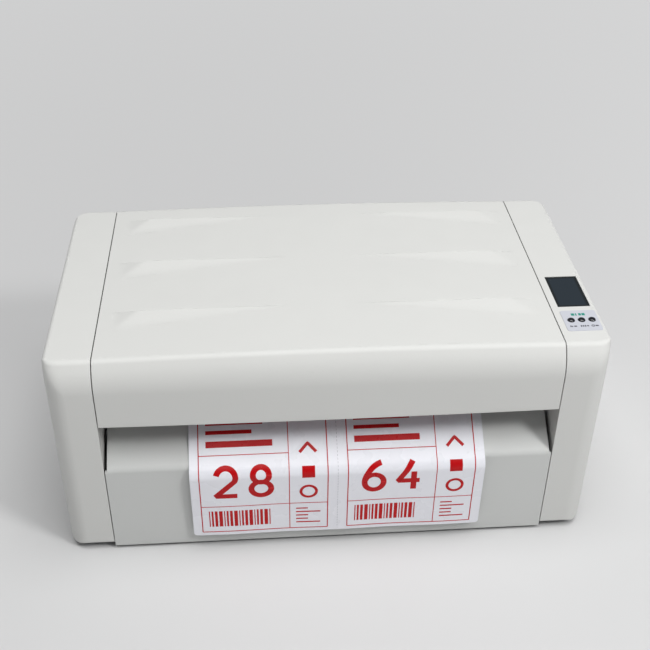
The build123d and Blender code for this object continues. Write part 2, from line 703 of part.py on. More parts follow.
def front_panel():
    """Lower front with the ledge and the sloping exit tray, in one moulding."""
    slope = tan(radians(TRAY_SLOPE))
    drop = WALL / cos(radians(TRAY_SLOPE))
    tray_end = TRAY_TOP_Z - TRAY_FLANGE
    inner_end = TRAY_DEPTH - WALL
    face = outline(
        [
            (0, -PANEL_DROP),
            (0, LEDGE_Z),
            (TRAY_DEPTH, TRAY_TOP_Z),
            (TRAY_DEPTH, tray_end),
            (inner_end, tray_end),
            (inner_end, LEDGE_Z + inner_end * slope - drop),
            (WALL, LEDGE_Z + WALL * slope - drop),
            (WALL, -PANEL_DROP),
        ],
        [0, LEDGE_RADIUS, 1.5, 0, 0, 0, LEDGE_RADIUS - WALL, 0],
    )
    panel = bar(face, -LID_HALF, LID_HALF)
    trim = slab(LID_HALF - TRAY_END_GAP, LID_HALF + 1, -1, TRAY_DEPTH + 1, LEDGE_Z - 2, TRAY_TOP_Z + 1)
    for piece in both_sides(trim):
        panel -= piece
    for x in PANEL_RIB_X:
        half = PANEL_RIB_WIDTH / 2
        panel += slab(x - half, x + half, WALL / 2, PAN_FRONT_Y, 3, PAN_FLANGE_HEIGHT)
    return panel


def tear_bar():
    """Toothed strip behind the tray's top edge, on the front beam."""
    teeth = int(2 * TEAR_BAR_HALF / TEAR_TOOTH_PITCH)
    points = [(TEAR_BAR_HALF, FRONT_BEAM_Z + 2), (-TEAR_BAR_HALF, FRONT_BEAM_Z + 2)]
    for tooth in range(teeth):
        x = -TEAR_BAR_HALF + tooth * TEAR_TOOTH_PITCH
        points.append((x, TEAR_BAR_TOP_Z - TEAR_TOOTH_DEPTH))
        points.append((x + TEAR_TOOTH_PITCH / 2, TEAR_BAR_TOP_Z))
    points.append((TEAR_BAR_HALF, TEAR_BAR_TOP_Z - TEAR_TOOTH_DEPTH))
    return plank(outline(points), FRONT_BEAM_Y - TEAR_BAR_SHEET, FRONT_BEAM_Y)


def involute(angle):
    return tan(angle) - angle


def gear_face(teeth, phase):
    """Involute outline in (y, z); phase is the direction of one tooth's middle, in degrees."""
    pitch_radius = MODULE * teeth / 2
    base = pitch_radius * cos(radians(PRESSURE_ANGLE))
    root, tip = pitch_radius - 1.25 * MODULE, pitch_radius + MODULE
    half_pitch = pi / (2 * teeth) - BACKLASH / (2 * pitch_radius) + involute(radians(PRESSURE_ANGLE))

    def flank(radius, side, middle):
        angle = middle + side * (half_pitch - involute(acos(min(1.0, base / radius))))
        return (radius * cos(angle), radius * sin(angle))

    edges = []
    for tooth in range(teeth):
        middle = radians(phase) + 2 * pi * tooth / teeth
        following = middle + 2 * pi / teeth
        rise = [flank(radius, -1, middle) for radius in (root, pitch_radius, tip)]
        fall = [flank(radius, 1, middle) for radius in (tip, pitch_radius, root)]
        edges.append(ThreePointArc(*rise))
        edges.append(Line(rise[2], fall[0]))
        edges.append(ThreePointArc(*fall))
        edges.append(Line(fall[2], flank(root, -1, following)))
    return make_face(edges)


def mesh_phase(phase, teeth, other_teeth, direction):
    """Phase of a gear that meshes with one of the given phase, seen in the given direction from it."""
    turns = (direction - phase) * teeth / 360
    return direction + 180 + (turns - 0.5) * 360 / other_teeth


def bearing_to(y0, z0, y1, z1):
    return degrees(atan2(z1 - z0, y1 - y0))


def idler_centre():
    """Where the idler meshes with both the platen gear and the take-up gear."""
    first = MODULE * (PLATEN_TEETH + IDLER_TEETH) / 2
    second = MODULE * (TAKEUP_TEETH + IDLER_TEETH) / 2
    span = hypot(TAKEUP_Y - PLATEN_Y, RIBBON_Z - PLATEN_Z)
    angle = acos((first**2 + span**2 - second**2) / (2 * first * span))
    heading = radians(bearing_to(PLATEN_Y, PLATEN_Z, TAKEUP_Y, RIBBON_Z)) - angle
    return (PLATEN_Y + first * cos(heading), PLATEN_Z + first * sin(heading))


def gear(teeth, phase, y, z, bore, hub):
    """Spur gear with a hub towards the side plate."""
    face = Pos(y, z) * gear_face(teeth, phase)
    wheel = bar(face, GEAR_X - GEAR_WIDTH, GEAR_X) + rod(hub, GEAR_X, GEAR_X + 2, y, z)
    return wheel - rod(bore, GEAR_X - GEAR_WIDTH - 1, GEAR_X + 3, y, z)


def lightened(wheel, teeth, y, z):
    """Round lightening holes between hub and rim."""
    middle = MODULE * teeth / 4 + 2.5
    hole = MODULE * teeth / 8
    for spoke in range(6):
        angle = radians(60 * spoke + 30)
        place = (y + middle * cos(angle), z + middle * sin(angle))
        wheel -= rod(hole * 0.8, GEAR_X - GEAR_WIDTH - 1, GEAR_X + 1, *place)
    return wheel


def platen_gear():
    wheel = gear(PLATEN_TEETH, 0, PLATEN_Y, PLATEN_Z, SHAFT_RADIUS + PRESS_FIT, SHAFT_RADIUS + 3)
    return lightened(wheel, PLATEN_TEETH, PLATEN_Y, PLATEN_Z)


def motor_pinion():
    phase = mesh_phase(0, PLATEN_TEETH, PINION_TEETH, PINION_ANGLE)
    return gear(PINION_TEETH, phase, PINION_Y, PINION_Z, MOTOR_SHAFT_RADIUS + PRESS_FIT, SHAFT_RADIUS)


def idler_phase():
    return mesh_phase(0, PLATEN_TEETH, IDLER_TEETH, bearing_to(PLATEN_Y, PLATEN_Z, *idler_centre()))


def idler_gear():
    y, z = idler_centre()
    return gear(IDLER_TEETH, idler_phase(), y, z, SHAFT_RADIUS + RUN_FIT, SHAFT_RADIUS + 3)


def takeup_gear():
    direction = bearing_to(*idler_centre(), TAKEUP_Y, RIBBON_Z)
    phase = mesh_phase(idler_phase(), IDLER_TEETH, TAKEUP_TEETH, direction)
    wheel = gear(TAKEUP_TEETH, phase, TAKEUP_Y, RIBBON_Z, SPINDLE_RADIUS + PRESS_FIT, SPINDLE_RADIUS + 3)
    return lightened(wheel, TAKEUP_TEETH, TAKEUP_Y, RIBBON_Z)


def idler_stud():
    y, z = idler_centre()
    stud = rod(SHAFT_RADIUS, GEAR_X - GEAR_WIDTH - 1.5, -PLATE_X, y, z)
    return stud + rod(SHAFT_RADIUS + 2, GEAR_X - GEAR_WIDTH - 3, GEAR_X - GEAR_WIDTH - 0.5, y, z)


def platen_roller():
    return ring(PLATEN_RADIUS, SHAFT_RADIUS + PRESS_FIT, -PLATEN_HALF, PLATEN_HALF, PLATEN_Y, PLATEN_Z)


def platen_shaft():
    return rod(SHAFT_RADIUS, GEAR_X - GEAR_WIDTH - 1, PLATE_OUT_X + 4, PLATEN_Y, PLATEN_Z)


def platen_bearings():
    x0 = PLATE_X - (BEARING_WIDTH - PLATE_THICKNESS) / 2
    bearing = ring(BEARING_RADIUS, SHAFT_RADIUS + RUN_FIT, x0, x0 + BEARING_WIDTH, PLATEN_Y, PLATEN_Z)
    return group(both_sides(bearing))


def feed_motor():
    """Stepper motor inside the left side plate, with its pilot boss in the plate."""
    half = MOTOR_SIZE / 2
    side = outline(
        [(-half, -half), (half, -half), (half, half), (-half, half)],
        [4.0] * 4,
    )
    body = bar(Pos(PINION_Y, PINION_Z) * side, -PLATE_X, -PLATE_X + MOTOR_LENGTH)
    body += rod(MOTOR_BOSS_RADIUS, -PLATE_OUT_X, -PLATE_X, PINION_Y, PINION_Z)
    return body - rod(MOTOR_SHAFT_RADIUS + RUN_FIT, -PLATE_OUT_X - 1, -PLATE_X + 20, PINION_Y, PINION_Z)


def motor_shaft():
    return rod(MOTOR_SHAFT_RADIUS, GEAR_X - GEAR_WIDTH - 1, -PLATE_X + 19, PINION_Y, PINION_Z)


def motor_screws():
    x = -PLATE_OUT_X
    return group([rod(SCREW_HEAD_RADIUS, x - SCREW_HEAD, x, y, z) for y, z in motor_corners()])


def bush(radius, y, z):
    """Flanged bush in the right side plate."""
    sleeve = rod(BUSH_RADIUS, PLATE_X, PLATE_OUT_X + 1, y, z)
    sleeve += rod(BUSH_FLANGE_RADIUS, PLATE_X - BUSH_FLANGE, PLATE_X, y, z)
    return sleeve - rod(radius + RUN_FIT, PLATE_X - 10, PLATE_OUT_X + 10, y, z)


def shaft_bushes():
    seats = [
        (SPINDLE_RADIUS, TAKEUP_Y, RIBBON_Z),
        (SPINDLE_RADIUS, SUPPLY_Y, RIBBON_Z),
        (CAM_SHAFT_RADIUS, CAM_Y, CAM_Z),
        (SHAFT_RADIUS, ROLLER_Y, ROLLER_Z),
    ]
    return group([side for seat in seats for side in both_sides(bush(*seat))])


def ribbon_spindle(y, left_x):
    """Spindle with two hubs that drive the ribbon core."""
    spindle = rod(SPINDLE_RADIUS, left_x, PLATE_OUT_X + 1, y, RIBBON_Z)
    hub_radius = RIBBON_CORE_RADIUS - RIBBON_CORE_WALL - TOUCH_GAP
    inner = RIBBON_CORE_HALF - HUB_LENGTH
    outer = RIBBON_CORE_HALF + SEAT_GAP
    hub = rod(hub_radius, inner, outer, y, RIBBON_Z)
    hub += rod(HUB_FLANGE_RADIUS, outer, outer + HUB_FLANGE, y, RIBBON_Z)
    for piece in both_sides(hub):
        spindle += piece
    return spindle


def ribbon_core(y):
    inner = RIBBON_CORE_RADIUS - RIBBON_CORE_WALL
    return ring(RIBBON_CORE_RADIUS, inner, -RIBBON_CORE_HALF, RIBBON_CORE_HALF, y, RIBBON_Z)


def ribbon_roll(y, radius):
    return ring(radius, RIBBON_CORE_RADIUS + TOUCH_GAP, -RIBBON_HALF, RIBBON_HALF, y, RIBBON_Z)


def heading(first, second):
    """Direction of the straight run between two stations of a belt path, in radians."""
    (y0, z0, s0), (y1, z1, s1) = first, second
    return atan2(z1 - z0, y1 - y0) - asin((s1 - s0) / hypot(y1 - y0, z1 - z0))


def touch(station, angle):
    """Point where a run with this direction touches a station."""
    y, z, side = station
    return (y + side * sin(angle), z - side * cos(angle))


def belt(stations):
    """Lines and arcs of a path that touches each station (y, z, radius) in turn.

    A radius is positive where the station lies to the left of the path and negative to its right.
    """
    angles = [heading(first, second) for first, second in zip(stations, stations[1:])]
    edges = []
    for index, angle in enumerate(angles):
        edges.append(Line(touch(stations[index], angle), touch(stations[index + 1], angle)))
        if index + 1 < len(angles):
            turn = (angles[index + 1] - angle + pi) % (2 * pi) - pi
            arc = [touch(stations[index + 1], angle + turn * share) for share in (0, 0.5, 1)]
            edges.append(ThreePointArc(*arc))
    return edges


def strip(stations, thickness, x0, x1):
    """A film of even thickness along a belt path."""
    half = thickness / 2
    left = belt([(y, z, side - half) for y, z, side in stations])
    right = belt([(y, z, side + half) for y, z, side in stations])
    ends = [Line(left[0] @ 0, right[0] @ 0), Line(left[-1] @ 1, right[-1] @ 1)]
    return bar(make_face(left + right + ends), x0, x1)


def sheet_bend():
    """Centre of the bend where the sheet leaves the tray, just clear of the ledge's rounding."""
    slope = radians(TRAY_SLOPE)
    ledge_y = LEDGE_RADIUS
    ledge_z = LEDGE_Z + LEDGE_RADIUS * tan(slope) - LEDGE_RADIUS / cos(slope)
    y = SHEET_BEND + WEB_THICKNESS / 2 - SHEET_PROUD
    reach = SHEET_BEND - LEDGE_RADIUS - WEB_GAP - SEAT_GAP
    run = radians(TRAY_SLOPE + 2)
    z = ledge_z - (reach - (y - ledge_y) * sin(run)) / cos(run)
    return (y, z)


def web_stations():
    bend_y, bend_z = sheet_bend()
    return [
        (MEDIA_Y, MEDIA_Z, MEDIA_RADIUS + WEB_GAP),
        (ROLLER_Y, ROLLER_Z, -(ROLLER_RADIUS + WEB_GAP)),
        (PLATEN_Y, PLATEN_Z, PLATEN_RADIUS + WEB_GAP),
        (FRONT_BEAM_Y - TEAR_BAR_SHEET / 2, TEAR_BAR_TOP_Z - 0.7, 1.0 + WEB_GAP),
        (bend_y, bend_z, SHEET_BEND),
        (bend_y - SHEET_BEND + SHEET_END_INSET, SHEET_END_Z, 0),
    ]


def label_web():
    """Label stock from the roll over the platen, down the tray and over the ledge."""
    return strip(web_stations(), WEB_THICKNESS, MEDIA_LEFT, MEDIA_RIGHT)


def ribbon_film():
    """Ribbon from the supply roll, under the print head and up to the take-up roll."""
    gap = SEAT_GAP + RIBBON_THICKNESS / 2
    stations = [
        (SUPPLY_Y, RIBBON_Z, SUPPLY_ROLL_RADIUS + gap),
        (REAR_ROD_Y, ROD_Z, -(ROD_RADIUS + gap)),
        (PLATEN_Y, HEAD_LINE_Z + GLAZE_RADIUS, -(GLAZE_RADIUS + gap)),
        (FRONT_ROD_Y, ROD_Z, -(ROD_RADIUS + gap)),
        (TAKEUP_Y, RIBBON_Z, TAKEUP_ROLL_RADIUS + gap),
    ]
    return strip(stations, RIBBON_THICKNESS, -RIBBON_HALF, RIBBON_HALF)


def head_arm():
    face = outline(
        [
            (FRONT_ROD_Y - 6, ROD_Z - 4.5),
            (FRONT_ROD_Y - 6, ROD_Z + 12),
            (HEAD_FRONT_Y, HEAD_FRAME_TOP),
            (HEAD_BACK_Y, HEAD_FRAME_TOP),
            (HEAD_PIVOT_Y + 8, HEAD_PIVOT_Z + 8),
            (HEAD_PIVOT_Y + 8, HEAD_PIVOT_Z - 8),
            (REAR_ROD_Y, ROD_Z - 5),
        ],
        [2.0, 2.0, 2.0, 2.0, 6.0, 6.0, 2.0],
    )
    return bar(face, HEAD_ARM_X - HEAD_SHEET, HEAD_ARM_X)


def head_frame():
    """Pressed frame above the print head: a top plate between two pivoting arms."""
    top = (HEAD_FRAME_TOP - HEAD_SHEET, HEAD_FRAME_TOP)
    frame = slab(-HEAD_ARM_X, HEAD_ARM_X, HEAD_FRONT_Y + 2, HEAD_BACK_Y - 2, *top)
    for arm in both_sides(head_arm()):
        frame += arm
    for y, z in ((FRONT_ROD_Y, ROD_Z), (REAR_ROD_Y, ROD_Z)):
        frame -= rod(ROD_RADIUS + PRESS_FIT, -HEAD_ARM_X - 1, HEAD_ARM_X + 1, y, z)
    for x in HEAD_SCREW_X:
        frame -= pin_z(2.0 + RUN_FIT, HEAD_FRAME_TOP - 5, HEAD_FRAME_TOP + 1, x, HEAD_SCREW_Y)
    return frame - rod(SHAFT_RADIUS + RUN_FIT, -HEAD_ARM_X - 1, HEAD_ARM_X + 1, HEAD_PIVOT_Y, HEAD_PIVOT_Z)


def heat_sink():
    """Finned bar that carries the print head."""
    sink = slab(-HEAD_HALF, HEAD_HALF, SINK_FRONT_Y, SINK_BACK_Y, SINK_BOTTOM_Z, SINK_TOP_Z)
    first = SINK_FRONT_Y + SINK_RAIL
    pitch = (SINK_BACK_Y - first) / FIN_COUNT
    for fin in range(FIN_COUNT):
        y = first + (fin + 0.5) * pitch
        groove_z = (SINK_TOP_Z - FIN_DEPTH, SINK_TOP_Z + 1)
        sink -= slab(-HEAD_HALF - 1, HEAD_HALF + 1, y - FIN_GAP / 2, y + FIN_GAP / 2, *groove_z)
    for x in HEAD_SCREW_X:
        sink -= pin_z(2.0 + PRESS_FIT, SINK_TOP_Z - 8, SINK_TOP_Z + 1, x, HEAD_SCREW_Y)
    return sink


def printhead():
    """Ceramic strip with its glazed heating line, on a carrier board."""
    half = HEAD_HALF - 4
    ceramic_z = HEAD_LINE_Z + 0.8
    head = slab(-half, half, SINK_FRONT_Y + 2, SINK_BACK_Y - 2, SINK_BOTTOM_Z - 3, SINK_BOTTOM_Z)
    head += slab(-half, half, PLATEN_Y - 6, PLATEN_Y + 8, ceramic_z, SINK_BOTTOM_Z - 2)
    return head + rod(GLAZE_RADIUS, -half, half, PLATEN_Y, HEAD_LINE_Z + GLAZE_RADIUS)


def coil(x, y, z0, z1, radius, wire, turns):
    """Compression spring between two heights."""
    length = z1 - z0 - wire
    path = Helix(length / turns, length, radius)
    section = Plane(path @ 0, z_dir=path % 0) * Circle(wire / 2)
    return Pos(x, y, z0 + wire / 2) * sweep(section, path=path, is_frenet=True)


def head_springs():
    z0, z1 = SINK_TOP_Z + SEAT_GAP, HEAD_FRAME_TOP - HEAD_SHEET - SEAT_GAP
    y = (SINK_FRONT_Y + SINK_RAIL + SINK_BACK_Y) / 2
    shape = [coil(x, y, z0, z1, HEAD_SPRING_RADIUS, HEAD_SPRING_WIRE, HEAD_SPRING_TURNS) for x in HEAD_SPRING_X]
    return group(shape)


def head_screws():
    """Shoulder screws that hang the heat sink from the frame."""
    screws = []
    for x in HEAD_SCREW_X:
        screw = pin_z(2.0, SINK_TOP_Z - 7, HEAD_FRAME_TOP, x, HEAD_SCREW_Y)
        screws.append(screw + pin_z(4.0, HEAD_FRAME_TOP, HEAD_FRAME_TOP + 2.5, x, HEAD_SCREW_Y))
    return group(screws)


def guide_rods():
    half = HEAD_ARM_X + 1
    return group([rod(ROD_RADIUS, -half, half, y, ROD_Z) for y in (FRONT_ROD_Y, REAR_ROD_Y)])


def head_pivot_shaft():
    """Fixed shaft across the side plates, with collars that centre the head frame."""
    shaft = rod(SHAFT_RADIUS, -PLATE_OUT_X, PLATE_OUT_X, HEAD_PIVOT_Y, HEAD_PIVOT_Z)
    collar = rod(SHAFT_RADIUS + 2.5, HEAD_ARM_X + SEAT_GAP, PLATE_X, HEAD_PIVOT_Y, HEAD_PIVOT_Z)
    for piece in both_sides(collar):
        shaft += piece
    return shaft


def cam(x):
    """Pear-shaped cam whose nose presses the head frame down at rest."""
    angle = radians(CAM_REST_ANGLE)
    nose = (CAM_Y - CAM_NOSE_REACH * sin(angle), CAM_Z - CAM_NOSE_REACH * cos(angle))
    shape = rod(CAM_BASE_RADIUS, x - CAM_WIDTH / 2, x + CAM_WIDTH / 2, CAM_Y, CAM_Z)
    shape += rod(CAM_NOSE_RADIUS, x - CAM_WIDTH / 2, x + CAM_WIDTH / 2, *nose)
    middle = ((CAM_Y + nose[0]) / 2, (CAM_Z + nose[1]) / 2)
    web = Pos(*middle) * Rot(0, 0, 90 - CAM_REST_ANGLE) * Rectangle(CAM_NOSE_REACH, 2 * CAM_NOSE_RADIUS)
    return shape + bar(web, x - CAM_WIDTH / 2, x + CAM_WIDTH / 2)


def cam_shaft():
    shaft = rod(CAM_SHAFT_RADIUS, -PLATE_OUT_X - 1, PLATE_OUT_X + 1, CAM_Y, CAM_Z)
    for x in CAM_X:
        shaft += cam(x)
    return shaft


def head_lever():
    """Lever on the cam shaft's right end; it points to the front when the head is down."""
    x0, x1 = LEVER_X, LEVER_X + LEVER_WIDTH
    tip_y = CAM_Y - LEVER_LENGTH
    lever = rod(LEVER_HUB_RADIUS, x0, x1, CAM_Y, CAM_Z) + rod(LEVER_TIP_RADIUS, x0, x1, tip_y, CAM_Z)
    lever += slab(x0, x1, tip_y, CAM_Y, CAM_Z - 3, CAM_Z + 3)
    return lever - rod(CAM_SHAFT_RADIUS + PRESS_FIT, x0 - 1, x1 + 1, CAM_Y, CAM_Z)


def guide_roller():
    roller = rod(ROLLER_RADIUS, -PLATEN_HALF, PLATEN_HALF, ROLLER_Y, ROLLER_Z)
    return roller + rod(SHAFT_RADIUS, -PLATE_OUT_X - 1, PLATE_OUT_X + 1, ROLLER_Y, ROLLER_Z)


def media_spindle():
    return rod(MEDIA_SPINDLE_RADIUS, -SEAM_X + 1, SEAM_X - 1, MEDIA_Y, MEDIA_Z)


def media_core():
    inner = MEDIA_CORE_RADIUS - MEDIA_CORE_WALL
    return ring(MEDIA_CORE_RADIUS, inner, MEDIA_LEFT, MEDIA_RIGHT, MEDIA_Y, MEDIA_Z)


def media_roll():
    return ring(MEDIA_RADIUS, MEDIA_CORE_RADIUS + TOUCH_GAP, MEDIA_LEFT, MEDIA_RIGHT, MEDIA_Y, MEDIA_Z)


def media_guide(edge_x, side):
    """Disc against the roll's end, with a hub inside the core and one outside."""
    face = edge_x + side * SEAT_GAP
    outer = face + side * GUIDE_DISC
    inner_radius = MEDIA_CORE_RADIUS - MEDIA_CORE_WALL - 2 * RUN_FIT
    guide = rod(GUIDE_DISC_RADIUS, face, outer, MEDIA_Y, MEDIA_Z)
    guide += rod(inner_radius, face - side * GUIDE_INNER_HUB, outer, MEDIA_Y, MEDIA_Z)
    guide += rod(GUIDE_OUTER_RADIUS, outer - side, outer + side * GUIDE_OUTER_HUB, MEDIA_Y, MEDIA_Z)
    for spoke in range(6):
        angle = radians(60 * spoke)
        reach = (GUIDE_DISC_RADIUS + MEDIA_CORE_RADIUS) / 2
        y, z = MEDIA_Y + reach * cos(angle), MEDIA_Z + reach * sin(angle)
        guide -= rod(GUIDE_DISC_RADIUS / 6, face - side, outer + side, y, z)
    return guide - rod(MEDIA_SPINDLE_RADIUS + RUN_FIT, -SEAM_X, SEAM_X, MEDIA_Y, MEDIA_Z)


def roll_cradle():
    """Block on the right side plate with a slot that the spindle drops into."""
    half = CRADLE_DEPTH / 2
    slot = MEDIA_SPINDLE_RADIUS + RUN_FIT
    x0, x1 = PLATE_X - CRADLE_WIDTH, PLATE_X
    block = slab(x0, x1, MEDIA_Y - half, MEDIA_Y + half, MEDIA_Z - CRADLE_BELOW, MEDIA_Z + CRADLE_ABOVE)
    block -= rod(slot, x0 - 1, x1 + 1, MEDIA_Y, MEDIA_Z)
    return block - slab(x0 - 1, x1 + 1, MEDIA_Y - slot, MEDIA_Y + slot, MEDIA_Z, MEDIA_Z + CRADLE_ABOVE + 1)


def power_supply():
    """Enclosed supply with louvres cut in its top."""
    z1 = PAN_THICKNESS + PSU_HEIGHT
    box = slab(*PSU_X, *PSU_Y, PAN_THICKNESS, z1)
    for row in range(8):
        y = PSU_Y[0] + 14 + row * 9
        box -= slab(PSU_X[0] + 20, PSU_X[1] - 40, y, y + 3, z1 - 1.5, z1 + 1)
    return box


def board_standoffs():
    inset = STANDOFF_INSET
    xs = (BOARD_X[0] + inset, BOARD_X[1] - inset)
    ys = (BOARD_Y[0] + inset, BOARD_Y[1] - inset)
    return group([pin_z(STANDOFF_RADIUS, PAN_THICKNESS, BOARD_Z, x, y) for x in xs for y in ys])


def control_board():
    return slab(*BOARD_X, *BOARD_Y, BOARD_Z, BOARD_Z + BOARD_SHEET)


def board_components():
    """Processor, memory, drivers, capacitors and headers on the control board."""
    top = BOARD_Z + BOARD_SHEET
    left, front = BOARD_X[0], BOARD_Y[0]
    chips = [(50, 40, 22, 22, 2.2), (84, 44, 14, 10, 1.6), (84, 60, 14, 10, 1.6), (112, 30, 12, 16, 6.0)]
    headers = [(24, 8, 22, 6, 8.0), (58, 8, 18, 6, 8.0), (100, 8, 30, 6, 8.0)]
    solids = []
    for x, y, width, depth, height in chips + headers:
        x0, y0 = left + x - width / 2, front + y - depth / 2
        solids.append(slab(x0, x0 + width, y0, y0 + depth, top, top + height))
    solids += [pin_z(4.0, top, top + 12, left + 14 + 12 * index, front + 28) for index in range(2)]
    solids += [pin_z(5.0, top, top + 14, left + 118, front + 52 + 13 * index) for index in range(2)]
    return group(solids)


def port_sockets():
    """Square data sockets at the board's back edge."""
    shells = []
    z, wall, back = BOARD_Z + BOARD_SHEET, PORT_WALL, BODY_DEPTH
    for x, width, height in PORTS:
        half = width / 2
        shell = slab(x - half, x + half, back - PORT_DEPTH, back, z, z + height)
        mouth_y = (back - PORT_DEPTH + 6, back + 1)
        mouth = slab(x - half + wall, x + half - wall, *mouth_y, z + wall, z + height - wall)
        shells.append(shell - mouth)
    return group(shells)


def socket_body(x, z, width, height, depth):
    """Block that ends flush with the back panel, with a collar against the panel's inside."""
    half_x, half_z = width / 2, height / 2
    inside = BODY_DEPTH - BACK_SHEET
    body = slab(x - half_x, x + half_x, BODY_DEPTH - depth, BODY_DEPTH, z - half_z, z + half_z)
    collar_x = (x - half_x - SOCKET_COLLAR, x + half_x + SOCKET_COLLAR)
    return body + slab(*collar_x, inside - 3, inside, z - half_z - SOCKET_COLLAR, z + half_z + SOCKET_COLLAR)


def power_inlet():
    """Mains inlet: a socket with three blades, held in the back panel by its collar."""
    floor = BODY_DEPTH - INLET_CAVITY
    inner_x, inner_z = INLET_WIDTH / 2 - INLET_WALL, INLET_HEIGHT / 2 - INLET_WALL
    socket = socket_body(INLET_X, INLET_Z, INLET_WIDTH, INLET_HEIGHT, INLET_DEPTH)
    inside_x = (INLET_X - inner_x, INLET_X + inner_x)
    socket -= slab(*inside_x, floor, BODY_DEPTH + 1, INLET_Z - inner_z, INLET_Z + inner_z)
    for dx, dz in ((-7.0, -2.0), (0.0, 2.5), (7.0, -2.0)):
        x, z = INLET_X + dx, INLET_Z + dz
        socket += slab(x - 1, x + 1, floor - 1, floor + BLADE_LENGTH, z - 2, z + 2)
    return socket


def switch_housing():
    """Housing with a cross pin that the power rocker tips on."""
    half_x, half_z = SWITCH_WIDTH / 2 - SWITCH_WALL, SWITCH_HEIGHT / 2 - SWITCH_WALL
    body = socket_body(SWITCH_X, SWITCH_Z, SWITCH_WIDTH, SWITCH_HEIGHT, SWITCH_DEPTH)
    floor = BODY_DEPTH - SWITCH_DEPTH + 3
    inside_x = (SWITCH_X - half_x, SWITCH_X + half_x)
    body -= slab(*inside_x, floor, BODY_DEPTH + 1, SWITCH_Z - half_z, SWITCH_Z + half_z)
    pin = rod(ROCKER_PIN_RADIUS, SWITCH_X - half_x - 0.5, SWITCH_X + half_x + 0.5, *rocker_pivot())
    return body + pin


def rocker_pivot():
    return (BODY_DEPTH - ROCKER_PIVOT_BACK, SWITCH_Z)


def power_rocker():
    """Rocker with two faces that meet over its pivot, drawn in its off position."""
    reach = SWITCH_HEIGHT / 2 - ROCKER_MARGIN
    face = outline([(-3, -3), (-3, 3), (4, reach), (8, reach), (6.5, 0), (8, -reach), (4, -reach)])
    tilted = Pos(*rocker_pivot()) * Rot(0, 0, ROCKER_TILT) * face
    half = SWITCH_WIDTH / 2 - SWITCH_WALL - SEAT_GAP
    hole = rod(ROCKER_PIN_RADIUS + RUN_FIT, 0, 2 * SWITCH_X, *rocker_pivot())
    return bar(tilted, SWITCH_X - half, SWITCH_X + half) - hole


def cable(points, bends):
    """Round cable along straight runs joined by arcs."""
    path = FilletPolyline(*points, radius=bends)
    section = Plane(path @ 0, z_dir=path % 0) * Circle(CABLE_RADIUS)
    return sweep(section, path=path)


def wiring():
    """Leads from the supply and the inlet to the board and the motor, lying along the pan."""
    z = PAN_THICKNESS + CABLE_RADIUS + SEAT_GAP
    left, right = PSU_X
    board_y = BOARD_Y[0] - 10
    route = [(left, 100, z), (left - 40, 100, z), (left - 40, board_y - 15, z), (left - 95, board_y, z)]
    supply = cable(route, [18, 12])
    inlet_y, inlet_z = BODY_DEPTH - INLET_DEPTH - SEAT_GAP, INLET_Z - 7
    route = [(INLET_X, inlet_y, inlet_z), (INLET_X, BODY_DEPTH - 85, inlet_z), (INLET_X - 40, BODY_DEPTH - 135, z)]
    mains = cable(route + [(INLET_X - 40, 90, z), (right, 90, z)], [14, 12, 18])
    x, y = -PLATE_X + 25, PINION_Y + 6
    route = [(x, y, PINION_Z - MOTOR_SIZE / 2), (x, y, 30), (x, board_y - 55, z), (x + 15, board_y, z)]
    return group([supply, mains, cable(route, [14, 14])])


def pieces():
    """Every piece of the printer by name."""
    return {
        "base_pan": base_pan(),
        "rubber_feet": rubber_feet(),
        "left_side_plate": left_plate(),
        "right_side_plate": side_plate(),
        "cross_beams": cross_beams(),
        "back_panel": back_panel(),
        "left_cheek": mirror(cheek(), Plane.YZ),
        "right_cheek": right_cheek(),
        "front_panel": front_panel(),
        "tear_bar": tear_bar(),
        "fasteners": fasteners(),
        "display_window": display_window(),
        "display_module": display_module(),
        "key_board": key_board(),
        "key_overlay": key_overlay(),
        "left_key": key(KEY_X[0]),
        "middle_key": key(KEY_X[1]),
        "right_key": key(KEY_X[2]),
        "lid": lid(),
        "hinge_pins": group(both_sides(hinge_pin())),
        "friction_washers": group(both_sides(friction_washer())),
        "lid_rests": group(both_sides(lid_rest())),
        "platen_bearings": platen_bearings(),
        "platen_roller": platen_roller(),
        "platen_shaft": platen_shaft(),
        "platen_gear": platen_gear(),
        "feed_motor": feed_motor(),
        "motor_pinion": group([motor_pinion(), motor_shaft()]),
        "idler_gear": idler_gear(),
        "fixed_shafts": group([idler_stud(), head_pivot_shaft()]),
        "shaft_bushes": shaft_bushes(),
        "takeup_spindle": ribbon_spindle(TAKEUP_Y, GEAR_X - GEAR_WIDTH - 1),
        "takeup_core": ribbon_core(TAKEUP_Y),
        "takeup_roll": ribbon_roll(TAKEUP_Y, TAKEUP_ROLL_RADIUS),
        "takeup_gear": takeup_gear(),
        "supply_spindle": ribbon_spindle(SUPPLY_Y, -PLATE_OUT_X - 1),
        "supply_core": ribbon_core(SUPPLY_Y),
        "supply_roll": ribbon_roll(SUPPLY_Y, SUPPLY_ROLL_RADIUS),
        "ribbon_film": ribbon_film(),
        "head_frame": head_frame(),
        "heat_sink": heat_sink(),
        "printhead": printhead(),
        "head_suspension": group([head_springs(), head_screws()]),
        "guide_rods": guide_rods(),
        "cam_shaft": cam_shaft(),
        "head_lever": head_lever(),
        "guide_roller": guide_roller(),
        "media_spindle": media_spindle(),
        "media_core": media_core(),
        "media_roll": media_roll(),
        "left_media_guide": media_guide(MEDIA_LEFT, -1),
        "right_media_guide": media_guide(MEDIA_RIGHT, 1),
        "roll_cradles": group(both_sides(roll_cradle())),
        "label_web": label_web(),
        "power_supply": power_supply(),
        "control_board": control_board(),
        "board_components": board_components(),
        "rear_sockets": group([power_inlet(), switch_housing(), port_sockets()]),
        "power_rocker": power_rocker(),
        "wiring": wiring(),
    }


